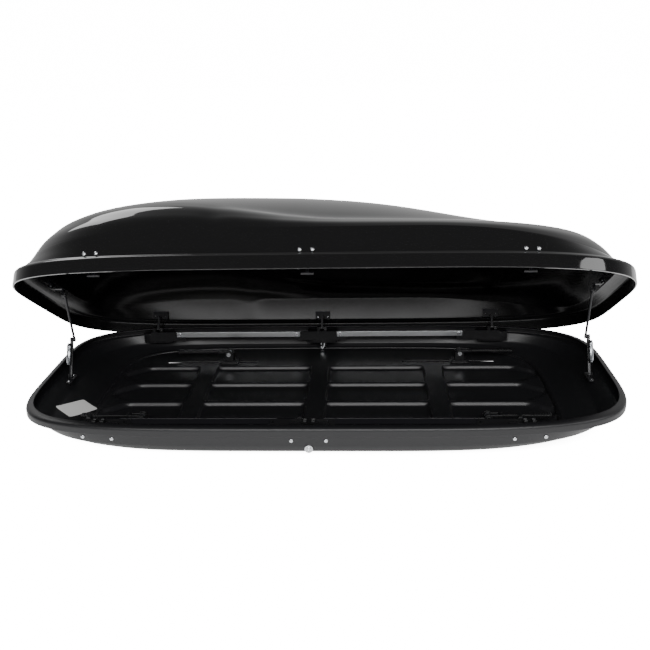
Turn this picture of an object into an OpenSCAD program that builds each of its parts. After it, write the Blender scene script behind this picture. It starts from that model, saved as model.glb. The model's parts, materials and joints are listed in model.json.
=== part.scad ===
// Roof cargo box with a lid that opens from either side, shown open on its far hinge line.
// Millimetres. +X points to the nose, +Y to the hinged side, +Z up.
// The origin is the middle of the underside, on the plane of the floor pads.

/* [Tray] */
// Length of the tray over its lip
tray_l = 1860; // [1500:10:2300]
// Width of the tray over its lip
tray_w = 840; // [700:10:1000]
// Height of the rim above the plane of the pads
rim_h = 100; // [84:1:120]
// Thickness of the formed plastic sheet of tray and lid
sheet_t = 3.5; // [2.5:0.1:4.5]
// Height of the lip band round the tray
lip_h = 28; // [22:1:34]
// Width of the flange turned in along the rim
flange_w = 22; // [14:1:28]
// Depth that the floor pads are pressed down
pad_d = 12; // [10:1:15]
// Width of a floor pad across the box
pad_w = 124; // [80:1:130]
// Distance between two rows of floor pads
pad_pitch = 147; // [136:1:160]

/* [Lid] */
// How far the lid stands outside the tray all round
lid_over = 20; // [16:1:26]
// Height of the lid from its edge to its crown
lid_h = 345; // [290:5:400]
// Height of the straight band along the lid's edge
band_h = 44; // [36:1:52]
// How far the closed lid's edge reaches below the rim
lid_lap = 3; // [1:1:5]
// Angle at which the lifters stop the open lid
open_angle = 33; // [25:1:38]

/* [Hinge line and latches] */
// Distance of the hinge line in from the tray's widest point
hinge_in = 50; // [46:1:70]
// Height of the hinge line above the rim
hinge_up = 3; // [3:1:8]
// Place of the tail latches along the box
latch_tail_x = -650; // [-700:5:-500]
// Place of the middle latches and the locks along the box
latch_mid_x = -30; // [-60:5:60]
// Place of the nose latches along the box
latch_nose_x = 600; // [500:5:680]
// Radius of the striker pins, which are the hinge pins of the open lid
pin_r = 4; // [3:0.25:5]
// Running clearance of every pin in its hole, on the radius
run_gap = 0.05; // [0.02:0.01:0.1]
// Travel of the lock bars between locked and free
bar_travel = 14; // [12:0.5:16]
// Height of a tie bar's section
bar_h = 20; // [14:1:22]
// Thickness of a tie bar's section
bar_t = 5; // [3:0.5:6]

/* [Lifters] */
// Distance of the lifters from the ends of the tray
lifter_in = 64; // [58:1:90]
// Length of a lifter's lower arm between its pins
arm_l = 125; // [120:1:130]
// Length of a lifter's upper link between its pins
link_l = 172; // [168:1:180]
// Radius of the lifter pins
lift_pin_r = 3.5; // [3:0.25:4.5]

/* [Roof bar clamps] */
// Distance of the clamp slots from the box's centre line
slot_y = 255; // [240:1:265]
// Distance of the slots' middles from the box's centre
slot_x = 430; // [380:5:460]
// Overall length of a clamp slot
slot_l = 330; // [250:5:340]
// Width of a clamp slot
slot_w = 11; // [10:0.5:14]
// Radius of the clamps' pivot pins
pivot_r = 5; // [4:0.25:6]
// Throw of the lever's eccentric
cam_e = 3; // [2:0.25:3.5]
// Length of a clamp lever from its pivot
lever_l = 190; // [120:5:200]
// Angle that a clamp lever lifts through
lever_angle = 100; // [80:1:105]

/* [Hidden] */

$fn = 48;
FAR = 1;
NEAR = -1;
TAIL = -1;
NOSE = 1;

// Small clearance between pieces that are fixed to each other
seat = 0.3;
// Overshoot of a cut past the face it opens
cut = 1;

// ---------------------------------------------------------------- outlines

// Points round each ring of the two shells
ring_n = 80;
// Exponents of the rounded outline at the tail and at the nose
tail_n = 5;
nose_n = 4.4;
// Share by which ring points crowd into the corners, in degrees
crowd = 8;

hinge_y = tray_w / 2 - hinge_in;
hinge_z = rim_h + hinge_up;
lid_z = rim_h - lid_lap;
lid_l = tray_l + 2 * lid_over;
lid_w = tray_w + 2 * lid_over;

function signed_pow(v, p) = sign(v) * pow(abs(v), p);

// Point i of a ring: a superellipse with its own half length at each end
function ring_point(i, half_tail, half_nose, half_w) =
  let (t = 360 * i / ring_n, a = t - crowd * sin(4 * t))
  let (c = cos(a), s = sin(a), n = c < 0 ? tail_n : nose_n)
  [(c < 0 ? half_tail : half_nose) * signed_pow(c, 2 / n), half_w * signed_pow(s, 2 / n)];

// Half width of such a ring at a place x along it, on the chords between its points
function half_width(x, half_tail, half_nose, half_w) =
  lookup(x, [for (i = [ring_n / 2 : -1 : 0]) ring_point(i, half_tail, half_nose, half_w)]);

// Closed surface through rings of equal count, closed by a point at each end
module ring_skin(rings, first, last) {
  m = len(rings);
  points = concat([first], [for (r = rings) each r], [last]);
  side = [
    for (k = [0 : m - 2], i = [0 : ring_n - 1])
      let (j = (i + 1) % ring_n, p = 1 + k * ring_n, q = p + ring_n)
      each [[p + i, p + j, q + j], [p + i, q + j, q + i]]
  ];
  ends = [
    for (i = [0 : ring_n - 1])
      let (j = (i + 1) % ring_n, q = 1 + (m - 1) * ring_n)
      each [[0, 1 + j, 1 + i], [q + i, q + j, len(points) - 1]]
  ];
  polyhedron(points, concat(side, ends), convexity = 8);
}

// ---------------------------------------------------------------- tray

floor_z = pad_d + sheet_t;
lip_z = rim_h - lip_h;

// Rows of the tray's section: inset at the sides, the tail and the nose, and height.
// The first rows run up the outside, the others down the inside.
TRAY_OUT = [
  [34, 184, 194, pad_d],
  [20, 162, 172, pad_d + 2],
  [10, 124, 134, pad_d + 12],
  [6, 68, 78, pad_d + 26],
  [4, 20, 26, lip_z - 3],
  [0, 0, 0, lip_z],
  [0, 0, 0, rim_h - 10],
  [3, 3, 3, rim_h - 4],
  [10, 10, 10, rim_h - 0.8],
  [flange_w - 2, flange_w - 2, flange_w - 2, rim_h]
];
TRAY_IN = [
  [flange_w, flange_w, flange_w, rim_h - 1],
  [flange_w, flange_w, flange_w, rim_h - sheet_t],
  [11, 11, 11, rim_h - sheet_t - 1],
  [sheet_t + 1, sheet_t + 1, sheet_t + 1, rim_h - sheet_t - 5],
  [sheet_t, sheet_t, sheet_t, lip_z + sheet_t],
  [sheet_t + 4, 22 + sheet_t, 28 + sheet_t, lip_z],
  [sheet_t + 6, 70, 80, pad_d + 26 + sheet_t],
  [sheet_t + 10, 125, 135, pad_d + 12 + sheet_t],
  [sheet_t + 20, 165, 175, floor_z + 2],
  [sheet_t + 34, 187, 197, floor_z]
];

TRAY_ROWS = concat(TRAY_OUT, TRAY_IN);

function tray_ring(row) = [
  for (i = [0 : ring_n - 1])
    concat(ring_point(i, tray_l / 2 - row[1], tray_l / 2 - row[2], tray_w / 2 - row[0]), row[3])
];

// Inset of the tray's wall at a height: column 0 for the side, 1 for the tail, 2 for the nose
function tray_inset(rows, z, column) =
  lookup(z, [for (row = rows) [row[3], row[column]]]);

WALL_OUT = [for (k = [0 : 5]) TRAY_OUT[k]];
WALL_IN = [for (k = [len(TRAY_IN) - 1 : -1 : 4]) TRAY_IN[k]];

// Half width of the tray at x and z, outside or inside its wall
function tray_half(rows, x, z) =
  half_width(x, tray_l / 2 - tray_inset(rows, z, 1), tray_l / 2 - tray_inset(rows, z, 2),
             tray_w / 2 - tray_inset(rows, z, 0));

// The floor's columns of pads from tail to nose, as shares of the tray's half length
PAD_COLUMNS = [[-0.775, -0.50], [-0.432, -0.067], [0.002, 0.364], [0.434, 0.78]];
PAD_ROWS = [-pad_pitch, 0, pad_pitch];
// How far a pad's walls lean in over its depth
pad_lean = 5;
// Length of the pointed end of the first and last pads
pad_point = 70;
// Bulge of the other pads' ends
pad_blunt = 6;

// Corners of a pad: a rectangle with slightly bulged ends, pointed at the outer end of the first and last columns
function pad_plan(column, grow, z) =
  let (x0 = PAD_COLUMNS[column][0] * tray_l / 2 - grow, x1 = PAD_COLUMNS[column][1] * tray_l / 2 + grow)
  let (h = pad_w / 2 + grow)
  let (tail_point = column == 0 ? pad_point : pad_blunt)
  let (nose_point = column == len(PAD_COLUMNS) - 1 ? pad_point : pad_blunt)
  [
    [x0, 0.2 * h, z], [x0 + tail_point, h, z], [x1 - nose_point, h, z],
    [x1, 0.2 * h, z], [x1, -0.2 * h, z], [x1 - nose_point, -h, z],
    [x0 + tail_point, -h, z], [x0, -0.2 * h, z]
  ];

// One pad's solid from its lower plane upwards, its walls leaning out by pad_lean
module pad_block(column, z, height, grow) {
  polyhedron(
    concat(pad_plan(column, grow, z), pad_plan(column, grow + pad_lean, z + height)),
    concat(
      [[7, 6, 5, 4, 3, 2, 1, 0], [8, 9, 10, 11, 12, 13, 14, 15]],
      [for (i = [0 : 7]) let (j = (i + 1) % 8) [i, j, j + 8, i + 8]]
    )
  );
}

module tray_shell() {
  color("#1c1c1e")
  difference() {
    union() {
      ring_skin([for (k = [len(TRAY_ROWS) - 1 : -1 : 0]) tray_ring(TRAY_ROWS[k])], [0, 0, floor_z], [0, 0, pad_d]);
      for (y = PAD_ROWS, column = [0 : len(PAD_COLUMNS) - 1])
        translate([0, y, 0])
          pad_block(column, 0, pad_d + sheet_t / 2, 0);
    }
    for (y = PAD_ROWS, column = [0 : len(PAD_COLUMNS) - 1])
      translate([0, y, 0])
        pad_block(column, sheet_t, pad_d + cut, -sheet_t / 2);
    for (x = [-slot_x, slot_x], y = [-slot_y, slot_y])
      translate([x, y, pad_d - cut])
        slot_cut(slot_l, slot_w, sheet_t + 2 * cut);
    for (side = [NEAR, FAR]) {
      translate([latch_mid_x, side * lock_wall_y, lock_z])
        rotate([90, 0, 0])
          cylinder(r = lock_r, h = 80, center = true);
      for (k = [0 : 2], x = housing_rivets(k))
        translate([x, side * tray_half(WALL_OUT, x, rivet_z), rivet_z])
          rotate([90, 0, 0])
            cylinder(r = rivet_r + run_gap, h = 30, center = true);
    }
    for (end = [TAIL, NOSE], y = foot_rivets_y)
      translate([end * lifter_x, y, foot_low - 30])
        cylinder(r = rivet_r + run_gap, h = 32);
  }
}

// A slot along X with true round ends
module slot_cut(length, width, height) {
  run = length - width;
  for (x = [-run / 2, run / 2])
    translate([x, 0, 0])
      cylinder(d = width, h = height);
  translate([-run / 2, -width / 2, 0])
    cube([run, width, height]);
}

// ---------------------------------------------------------------- lid

// Heights along the lid above its edge: the shoulder, the crease, the ridge and the crown line
function smooth(t) = let (u = max(0, min(1, t))) u * u * (3 - 2 * u);
shoulder_h = band_h + 6;
crease_h = 0.38 * lid_h;
ridge_tail_h = 0.7 * lid_h;
ridge_nose_h = 0.524 * lid_h;
crown_x = -100;
// Where the crease starts to sink towards each end, over what length, and how far it sinks in that length
CREASE_TAIL = [-500, 400, 47];
CREASE_NOSE = [300, 600, 83];
// The ridge steps down between two places; beyond them it falls on
ridge_step = [-450, 80];
ridge_nose_fall = 24;
ridge_tail_fall = 264;
crown_tail_fall = 83;
crown_nose_fall = 227;

function metres(v) = max(0, v) / 1000;
function sunk(along, fall) = fall[2] * pow(max(0, along) / fall[1], 2);
function crease_at(x) =
  max(shoulder_h + 8, crease_h - sunk(CREASE_TAIL[0] - x, CREASE_TAIL) - sunk(x - CREASE_NOSE[0], CREASE_NOSE));
function ridge_at(x) =
  ridge_nose_h + (ridge_tail_h - ridge_nose_h) * smooth((ridge_step[1] - x) / (ridge_step[1] - ridge_step[0]))
  - ridge_nose_fall * metres(x - ridge_step[1]) - ridge_tail_fall * pow(metres(ridge_step[0] - x), 2);
function crown_at(x) =
  lid_h - crown_tail_fall * pow(metres(crown_x - x), 2) - crown_nose_fall * pow(metres(x - crown_x), 1.8);

// Rows of the lid's side: inset at the sides, the tail and the nose, then the height.
// Heights from the edge up to the shoulder are millimetres. After the shoulder comes the
// share of the way from the shoulder to the crease, 0 to 1, and from the crease to the ridge, 1 to 2.
LID_SIDE = [
  [0, 0, 0, 0, 0],
  [1, 1, 1, band_h - 6, 0],
  [4, 4, 4, band_h, 0],
  [13, 16, 17, shoulder_h, 0],
  [20, 37, 28, 0, 0.5],
  [27, 48, 44, 0, 1],
  [38, 69, 72, 0, 1.35],
  [66, 111, 115, 0, 1.75],
  [100, 163, 175, 0, 2]
];
// Rings of the deck inside the ridge, as shares of the ridge ring
DECK = [0.86, 0.7, 0.5, 0.27];

function lid_side_z(row, x) =
  row[4] == 0 ? row[3] :
  row[4] <= 1 ? shoulder_h + row[4] * (crease_at(x) - shoulder_h) :
  crease_at(x) + (row[4] - 1) * (ridge_at(x) - crease_at(x));

function lid_side_ring(row, t) = [
  for (i = [0 : ring_n - 1])
    let (p = ring_point(i, lid_l / 2 - row[1] - t, lid_l / 2 - row[2] - t, lid_w / 2 - row[0] - t))
    [p[0], p[1], lid_z + lid_side_z(row, p[0]) - max(0, row[4] - 1) * t]
];

function lid_deck_ring(share, t) =
  let (row = LID_SIDE[len(LID_SIDE) - 1])
  [
    for (i = [0 : ring_n - 1])
      let (p = share * ring_point(i, lid_l / 2 - row[1] - t, lid_l / 2 - row[2] - t, lid_w / 2 - row[0] - t))
      let (low = ridge_at(p[0]), high = max(low, crown_at(p[0])))
      [p[0], p[1], lid_z + low + (high - low) * (1 - pow(share, 2.2)) - t]
  ];

// Inset of the lid's wall at x and a height above its edge: column 0 for the side, 1 the tail, 2 the nose
function lid_inset(x, h, column) = lookup(h, [for (k = [1 : 6]) [lid_side_z(LID_SIDE[k], x), LID_SIDE[k][column]]]);

// Half width of the lid's wall at x and at a height above the edge, less t
function lid_half(x, h, t) =
  half_width(x, lid_l / 2 - lid_inset(x, h, 1) - t, lid_l / 2 - lid_inset(x, h, 2) - t, lid_w / 2 - lid_inset(x, h, 0) - t);

// Carries a piece of the closed lid to the open place, turned about the hinge line
module on_open_lid() {
  translate([0, hinge_y, hinge_z])
    rotate([-open_angle, 0, 0])
      translate([0, -hinge_y, -hinge_z])
        children();
}

module lid_shell() {
  color("#08080a")
  on_open_lid()
  difference() {
    ring_skin(
      concat(
        [for (k = [len(DECK) - 1 : -1 : 0]) lid_deck_ring(DECK[k], 0)],
        [for (k = [len(LID_SIDE) - 1 : -1 : 0]) lid_side_ring(LID_SIDE[k], 0)],
        [for (row = LID_SIDE) lid_side_ring(row, sheet_t)],
        [for (share = DECK) lid_deck_ring(share, sheet_t)]
      ),
      [0, 0, lid_z + crown_at(0)], [0, 0, lid_z + crown_at(0) - sheet_t]
    );
    for (side = [NEAR, FAR], x = striker_rivets)
      translate([x, side * lid_half(x, striker_rivet_h, 0), lid_z + striker_rivet_h])
        rotate([90, 0, 0])
          cylinder(r = rivet_r + run_gap, h = 30, center = true);
  }
}

// ---------------------------------------------------------------- latches

rivet_r = 2.5;
rivet_head_r = 5.5;
rivet_head_t = 2.4;
rivet_z = rim_h - 43;
LATCH_X = [latch_tail_x, latch_mid_x, latch_nose_x];
// Half the distance between a housing's two rivets, tail, middle and nose
HOUSING_RIVET = [45, 50, 45];
function housing_rivets(k) = [LATCH_X[k] - HOUSING_RIVET[k], LATCH_X[k] + HOUSING_RIVET[k]];

// Play between a housing and the wall that its rivets bridge
housing_play = 2.5;
housing_half_l = 56;
// Half length of the housing's flat front, the bevel beside it, and its least depth at its ends
front_half_l = 32;
end_bevel = 5;
end_depth = 8;
housing_low = rivet_z - 6;
housing_top = rim_h - 11;
// Distance from the hinge line in to the housing's inner face
housing_front = 14;
ear_in = 7;
ear_out = 17;
ear_half = pin_r + 5;

// Clear of the wall's inside at the height of a housing's lower edge, at a distance dx from the latch
function housing_back(k, dx, low) = tray_half(WALL_IN, LATCH_X[k] + dx, low) - housing_play;

// Housing of one latch on the far side: block, two ears and the half-round seats of the striker pin
module far_housing(k) {
  low = k == 1 ? lock_z + cam_reach + 2 : housing_low;
  front = hinge_y - housing_front;
  back_left = housing_back(k, -housing_half_l, low);
  back_mid = min(housing_back(k, 0, low), hinge_y + ear_half + 12);
  back_right = housing_back(k, housing_half_l, low);
  translate([LATCH_X[k], 0, 0])
  difference() {
    union() {
      translate([0, 0, low])
        linear_extrude(housing_top - low)
          polygon([
            [-front_half_l, front], [front_half_l, front],
            [housing_half_l, min(front + end_bevel, back_right - end_depth)], [housing_half_l, back_right],
            [0, back_mid], [-housing_half_l, back_left],
            [-housing_half_l, min(front + end_bevel, back_left - end_depth)]
          ]);
      for (x = [-ear_out, ear_in])
        translate([x, hinge_y - ear_half, housing_top - cut])
          cube([ear_out - ear_in, 2 * ear_half, hinge_z - housing_top + cut]);
    }
    translate([0, hinge_y, hinge_z])
      rotate([0, 90, 0])
        cylinder(r = pin_r + run_gap, h = 2 * ear_out + 2 * cut, center = true);
    translate([-ear_in, hinge_y - ear_half - cut, housing_top - 12])
      cube([2 * ear_in, tray_w, 12 + cut]);
    for (x = [-HOUSING_RIVET[k], HOUSING_RIVET[k]])
      translate([x, tray_w / 2, rivet_z])
        rotate([90, 0, 0])
          cylinder(r = rivet_r + run_gap, h = tray_w / 2 - front + cut);
  }
}

module housing(side, k) {
  color("#121213")
    mirror([0, side == NEAR ? 1 : 0, 0])
      far_housing(k);
}

striker_rivet_h = 60;
striker_half_l = 28;
STRIKER_RIVET = 18;
striker_rivets = [for (x = LATCH_X, d = [-STRIKER_RIVET, STRIKER_RIVET]) x + d];
striker_leg = 8;
striker_arm_low = 44;
striker_arm_t = 9;
striker_pin_half = 18;
striker_plate_t = 4;
striker_plate_low = band_h + 6;
striker_plate_top = 80;

// Striker of one latch on the closed lid's far side: wall plate, arm, leg and cross pin
module far_striker(k) {
  x = LATCH_X[k];
  wall = min([for (d = [-striker_half_l, striker_half_l]) lid_half(x + d, striker_plate_top, sheet_t)]) - 0.8;
  half_leg = pin_r + 0.5;
  translate([x, 0, 0]) {
    difference() {
      union() {
        translate([-striker_half_l, wall - striker_plate_t, lid_z + striker_plate_low])
          cube([2 * striker_half_l, striker_plate_t, striker_plate_top - striker_plate_low]);
        translate([-striker_leg / 2, 0, 0])
          rotate([90, 0, 90])
            linear_extrude(striker_leg)
              polygon([
                [hinge_y - half_leg, hinge_z], [hinge_y + half_leg, hinge_z],
                [hinge_y + half_leg, lid_z + striker_arm_low],
                [wall - striker_plate_t / 2, lid_z + striker_arm_low + 8],
                [wall - striker_plate_t / 2, lid_z + striker_arm_low + 8 + striker_arm_t],
                [hinge_y - half_leg, lid_z + striker_arm_low + striker_arm_t]
              ]);
        translate([0, hinge_y, hinge_z])
          rotate([0, 90, 0])
            cylinder(r = half_leg, h = striker_leg, center = true);
        translate([0, hinge_y, hinge_z])
          rotate([0, 90, 0])
            cylinder(r = pin_r, h = 2 * striker_pin_half, center = true);
      }
      for (d = [-STRIKER_RIVET, STRIKER_RIVET])
        translate([d, wall + cut, lid_z + striker_rivet_h])
          rotate([90, 0, 0])
            cylinder(r = rivet_r + run_gap, h = striker_plate_t + 2 * cut);
    }
  }
}

module striker(side, k) {
  color("#3a3a3d")
    on_open_lid()
      mirror([0, side == NEAR ? 1 : 0, 0])
        far_striker(k);
}

// ---------------------------------------------------------------- lock bars

slide_t = 3.5;
slide_gap = 0.3;
slide_low = rim_h - 38;
slide_top = rim_h - 4;
// Front and back of the slide plates, measured in y on the far side
slide_back = hinge_y - housing_front - slide_gap;
slide_front = slide_back - slide_t;
finger_t = 5;
finger_gap = 0.4;
FINGER = [-18, -8];
// Ends of each slide plate from its latch
SLIDE_ENDS = [[-26, 106], [-102, 88], [-131, 26]];
// Ends of the tail and nose tie bars, each from the latch at that end
BAR_LAP = [74, -82, 56, -111];
bar_z = rim_h - 13;
screw_inset = 12;
screw_r = 3;
screw_head_r = 6;

// Slide of one latch in its locked place: plate, finger over the pin, and fork of the middle one
module far_slide(k) {
  ends = SLIDE_ENDS[k];
  finger_z = hinge_z + pin_r + finger_gap;
  translate([LATCH_X[k], 0, 0])
  difference() {
    union() {
      translate([ends[0], slide_front, slide_low])
        cube([ends[1] - ends[0], slide_t, slide_top - slide_low]);
      translate([FINGER[0], slide_front, slide_top - cut])
        cube([FINGER[1] - FINGER[0], slide_t, finger_z + finger_t - slide_top + cut]);
      translate([FINGER[0], slide_front, finger_z])
        cube([FINGER[1] - FINGER[0], hinge_y + pin_r - slide_front, finger_t]);
      if (k == 1)
        translate([bar_travel / 2 - 8, slide_front, lock_z + 4])
          cube([16, slide_t, slide_low - lock_z]);
    }
    if (k == 1)
      translate([bar_travel / 2 - cam_pin_r - 0.4, slide_front - cut, lock_z + 4 - cut])
        cube([2 * cam_pin_r + 0.8, slide_t + 2 * cut, cam_reach + cut]);
    for (x = slide_screws(k))
      translate([x - LATCH_X[k], slide_back + cut, bar_z])
        rotate([90, 0, 0])
          cylinder(r = screw_r + run_gap, h = slide_t + 2 * cut);
  }
}

// Screws of each slide plate: the ends of the bars that it carries
BAR_ENDS = [
  [latch_tail_x + BAR_LAP[0], latch_mid_x + BAR_LAP[1]],
  [latch_mid_x + BAR_LAP[2], latch_nose_x + BAR_LAP[3]]
];
BAR_SCREWS = [for (b = BAR_ENDS) [b[0] + screw_inset, b[1] - screw_inset]];
function slide_screws(k) =
  k == 0 ? [BAR_SCREWS[0][0]] : k == 1 ? [BAR_SCREWS[0][1], BAR_SCREWS[1][0]] : [BAR_SCREWS[1][1]];

// Carries a lock-bar piece to its rest place: locked on the far side, free on the near side
module on_lock_bar(side) {
  translate([side == NEAR ? -bar_travel : 0, 0, 0])
    mirror([0, side == NEAR ? 1 : 0, 0])
      children();
}

module slide(side, k) {
  color("#17171a")
    on_lock_bar(side)
      far_slide(k);
}

bar_round = 1.5;
module tie_bar(side, b) {
  x0 = BAR_ENDS[b][0];
  x1 = BAR_ENDS[b][1];
  color("#c3c6c9")
    on_lock_bar(side)
      difference() {
        translate([x0, 0, 0])
          rotate([90, 0, 90])
            linear_extrude(x1 - x0)
              bar_section();
        for (x = BAR_SCREWS[b])
          translate([x, slide_front + cut, bar_z])
            rotate([90, 0, 0])
              cylinder(r = screw_r + run_gap, h = bar_t + slide_gap + 2 * cut);
      }
}

// Section of a tie bar in y and z, with rounded corners
module bar_section() {
  y1 = slide_front - 0.1;
  y0 = y1 - bar_t;
  for (y = [y0 + bar_round, y1 - bar_round], z = [bar_z - bar_h / 2 + bar_round, bar_z + bar_h / 2 - bar_round])
    translate([y, z])
      circle(r = bar_round);
  translate([y0 + bar_round, bar_z - bar_h / 2])
    square([bar_t - 2 * bar_round, bar_h]);
  translate([y0, bar_z - bar_h / 2 + bar_round])
    square([bar_t, bar_h - 2 * bar_round]);
}

module bar_screws(side) {
  color("#d4d6d8")
    on_lock_bar(side)
      for (b = [0, 1], x = BAR_SCREWS[b])
        translate([x, slide_back, bar_z])
          rotate([90, 0, 0]) {
            cylinder(r = screw_r, h = slide_t + bar_t + 0.5);
            translate([0, 0, slide_t + bar_t + 0.2])
              cylinder(r = screw_head_r, h = 3);
          }
}

// ---------------------------------------------------------------- locks

lock_r = 9.5;
lock_z = 31;
lock_flange_r = 12;
lock_proud = 3;
barrel_r = 6.5;
barrel_proud = 7;
shaft_r = 4;
cam_pin_r = 2.5;
cam_t = 3;
key_turn = 90;
// The cam pin swings half a turn's quarter to each side, so its radius follows the bar's travel
cam_r = bar_travel / (2 * sin(key_turn / 2));
cam_reach = cam_r + cam_pin_r + 1.5;
lock_wall_y = tray_half(WALL_OUT, latch_mid_x, lock_z + lock_flange_r);
bush_in = 16;

module far_lock_bush() {
  translate([latch_mid_x, lock_wall_y, lock_z])
    rotate([90, 0, 0])
      difference() {
        union() {
          translate([0, 0, -lock_proud - seat])
            cylinder(r = lock_flange_r, h = lock_proud);
          translate([0, 0, -seat - cut])
            cylinder(r = lock_r - run_gap, h = bush_in + seat + cut);
        }
        translate([0, 0, -lock_proud - seat - cut])
          cylinder(r = barrel_r + run_gap, h = bush_in + lock_proud + 2 * seat + 3 * cut);
      }
}

module lock_bush(side) {
  color("#a9acb0")
    mirror([0, side == NEAR ? 1 : 0, 0])
      far_lock_bush();
}

key_slot_l = 7;
key_slot_w = 1.8;
key_slot_d = 6;

// Barrel, shaft and cam, with the cam pin turned by an angle from upright towards +X
module far_key_barrel(turn) {
  cam_y = slide_back + slide_gap;
  barrel_in = bush_in + 2;
  translate([latch_mid_x, lock_wall_y, lock_z])
    rotate([90, 0, 0])
      difference() {
        union() {
          translate([0, 0, -barrel_proud])
            cylinder(r = barrel_r, h = barrel_in + barrel_proud);
          cylinder(r = shaft_r, h = lock_wall_y - cam_y);
        }
        translate([-key_slot_w / 2, -key_slot_l / 2, -barrel_proud - cut])
          cube([key_slot_w, key_slot_l, key_slot_d + cut]);
      }
  translate([latch_mid_x, cam_y + 0.2, lock_z])
    rotate([0, turn, 0])
      rotate([-90, 0, 0]) {
        cylinder(r = shaft_r + 2, h = cam_t);
        translate([-cam_pin_r - 1, -cam_r, 0])
          cube([2 * cam_pin_r + 2, cam_r, cam_t]);
        translate([0, -cam_r, 0])
          cylinder(r = cam_pin_r + 1, h = cam_t);
        translate([0, -cam_r, -slide_t - slide_gap - 1.2])
          cylinder(r = cam_pin_r, h = slide_t + slide_gap + 2.2);
      }
}

module key_barrel(side) {
  color("#b9bcc0")
    mirror([0, side == NEAR ? 1 : 0, 0])
      far_key_barrel(side == NEAR ? -key_turn / 2 : key_turn / 2);
}

// ---------------------------------------------------------------- lifters

lifter_x = tray_l / 2 - lifter_in;
foot_y = 10;
// The foot's plate stands on the slope of the tray's end; its outer edge decides the height
foot_half_l = 10;
foot_low = lookup(lifter_in - foot_half_l - 2, [for (k = [4 : len(TRAY_IN) - 1]) [TRAY_IN[k][2], TRAY_IN[k][3]]]) + seat;
foot_z = foot_low + lift_pin_r + 8;
bracket_y = -50;
bracket_h = 33;

// Where the lid's lifter pin lies with the lid open
lid_dy = bracket_y - hinge_y;
lid_dz = lid_z + bracket_h - hinge_z;
top_y = hinge_y + lid_dy * cos(open_angle) + lid_dz * sin(open_angle);
top_z = hinge_z - lid_dy * sin(open_angle) + lid_dz * cos(open_angle);

// The knee is where the arm's and the link's circles meet, on the hinge side
reach = norm([top_y - foot_y, top_z - foot_z]);
along = (arm_l * arm_l - link_l * link_l + reach * reach) / (2 * reach);
aside = sqrt(max(0, arm_l * arm_l - along * along));
dir_y = (top_y - foot_y) / reach;
dir_z = (top_z - foot_z) / reach;
knee_y = foot_y + along * dir_y + aside * dir_z;
knee_z = foot_z + along * dir_z - aside * dir_y;

arm_half_t = 5;
link_t = 7;
eye_r = lift_pin_r + 4;
side_gap = 0.5;
// Inner face of the link and of the lid's ear, counted from the lifter's plane towards the box's middle
link_at = arm_half_t + side_gap;
foot_rivets_y = [foot_y - 24, foot_y + 24];
bracket_rivets_y = [bracket_y - 14, bracket_y + 14];
bracket_rivet_h = 62;

// Puts children in the lifter's own frame at one end: +X towards the middle of the box, origin in its plane
module at_lifter(end) {
  translate([end * lifter_x, 0, 0])
    mirror([end == NOSE ? 1 : 0, 0, 0])
      children();
}

// Bar with an eye at each end, from one pin to another in the plane of y and z
module eye_bar(from_y, from_z, to_y, to_z, half_w, x0, t) {
  length = norm([to_y - from_y, to_z - from_z]);
  lean = atan2(to_y - from_y, to_z - from_z);
  translate([x0, from_y, from_z])
    rotate([-lean, 0, 0])
      rotate([0, 90, 0]) {
        cylinder(r = eye_r, h = t);
        translate([-length, 0, 0])
          cylinder(r = eye_r, h = t);
        translate([-length, -half_w, 0])
          cube([length, 2 * half_w, t]);
      }
}

module x_pin(y, z, r, x0, x1) {
  translate([x0, y, z])
    rotate([0, 90, 0])
      cylinder(r = r, h = x1 - x0);
}

foot_t = 3;
foot_plate_half = 34;
// Height at which the foot rivets end, under the sheet of the tray's end
foot_rivet_end = pad_d + 24;

module lifter_foot(end) {
  color("#202022")
    at_lifter(end) {
      difference() {
        union() {
          translate([-foot_half_l, foot_y - foot_plate_half, foot_low])
            cube([2 * foot_half_l, 2 * foot_plate_half, foot_t]);
          translate([-arm_half_t - side_gap - foot_t, foot_y - eye_r, foot_low])
            cube([foot_t, 2 * eye_r, foot_z - foot_low]);
          x_pin(foot_y, foot_z, eye_r, -arm_half_t - side_gap - foot_t, -arm_half_t - side_gap);
        }
        for (y = foot_rivets_y)
          translate([0, y, foot_low - cut])
            cylinder(r = rivet_r + run_gap, h = foot_t + 2 * cut);
      }
      x_pin(foot_y, foot_z, lift_pin_r, -arm_half_t - side_gap - foot_t, arm_half_t + 1);
    }
}

tube_r = 8;
tube_x = link_at - side_gap - tube_r;
tube_from = 38;
tube_to = 112;
tube_side = 15;

module lifter_arm(end) {
  color("#2a2a2d")
    at_lifter(end) {
      difference() {
        eye_bar(foot_y, foot_z, knee_y, knee_z, 6, -arm_half_t, 2 * arm_half_t);
        x_pin(foot_y, foot_z, lift_pin_r + run_gap, -arm_half_t - cut, arm_half_t + cut);
      }
      x_pin(knee_y, knee_z, lift_pin_r, arm_half_t - cut, link_at + link_t + 1);
    }
}

// Spring tube beside the lower arm, held by an end cap of the arm at each end
module spring_tube(end) {
  lean = atan2(knee_y - foot_y, knee_z - foot_z);
  color("#b4b7ba")
    at_lifter(end)
      translate([0, foot_y, foot_z])
        rotate([-lean, 0, 0])
          translate([tube_x, -tube_side, tube_from]) {
            cylinder(r = tube_r, h = tube_to - tube_from);
            translate([-3, 0, 4])
              cube([6, tube_side - 6 - seat, 6]);
            translate([-3, 0, tube_to - tube_from - 10])
              cube([6, tube_side - 6 - seat, 6]);
          }
}

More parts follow.
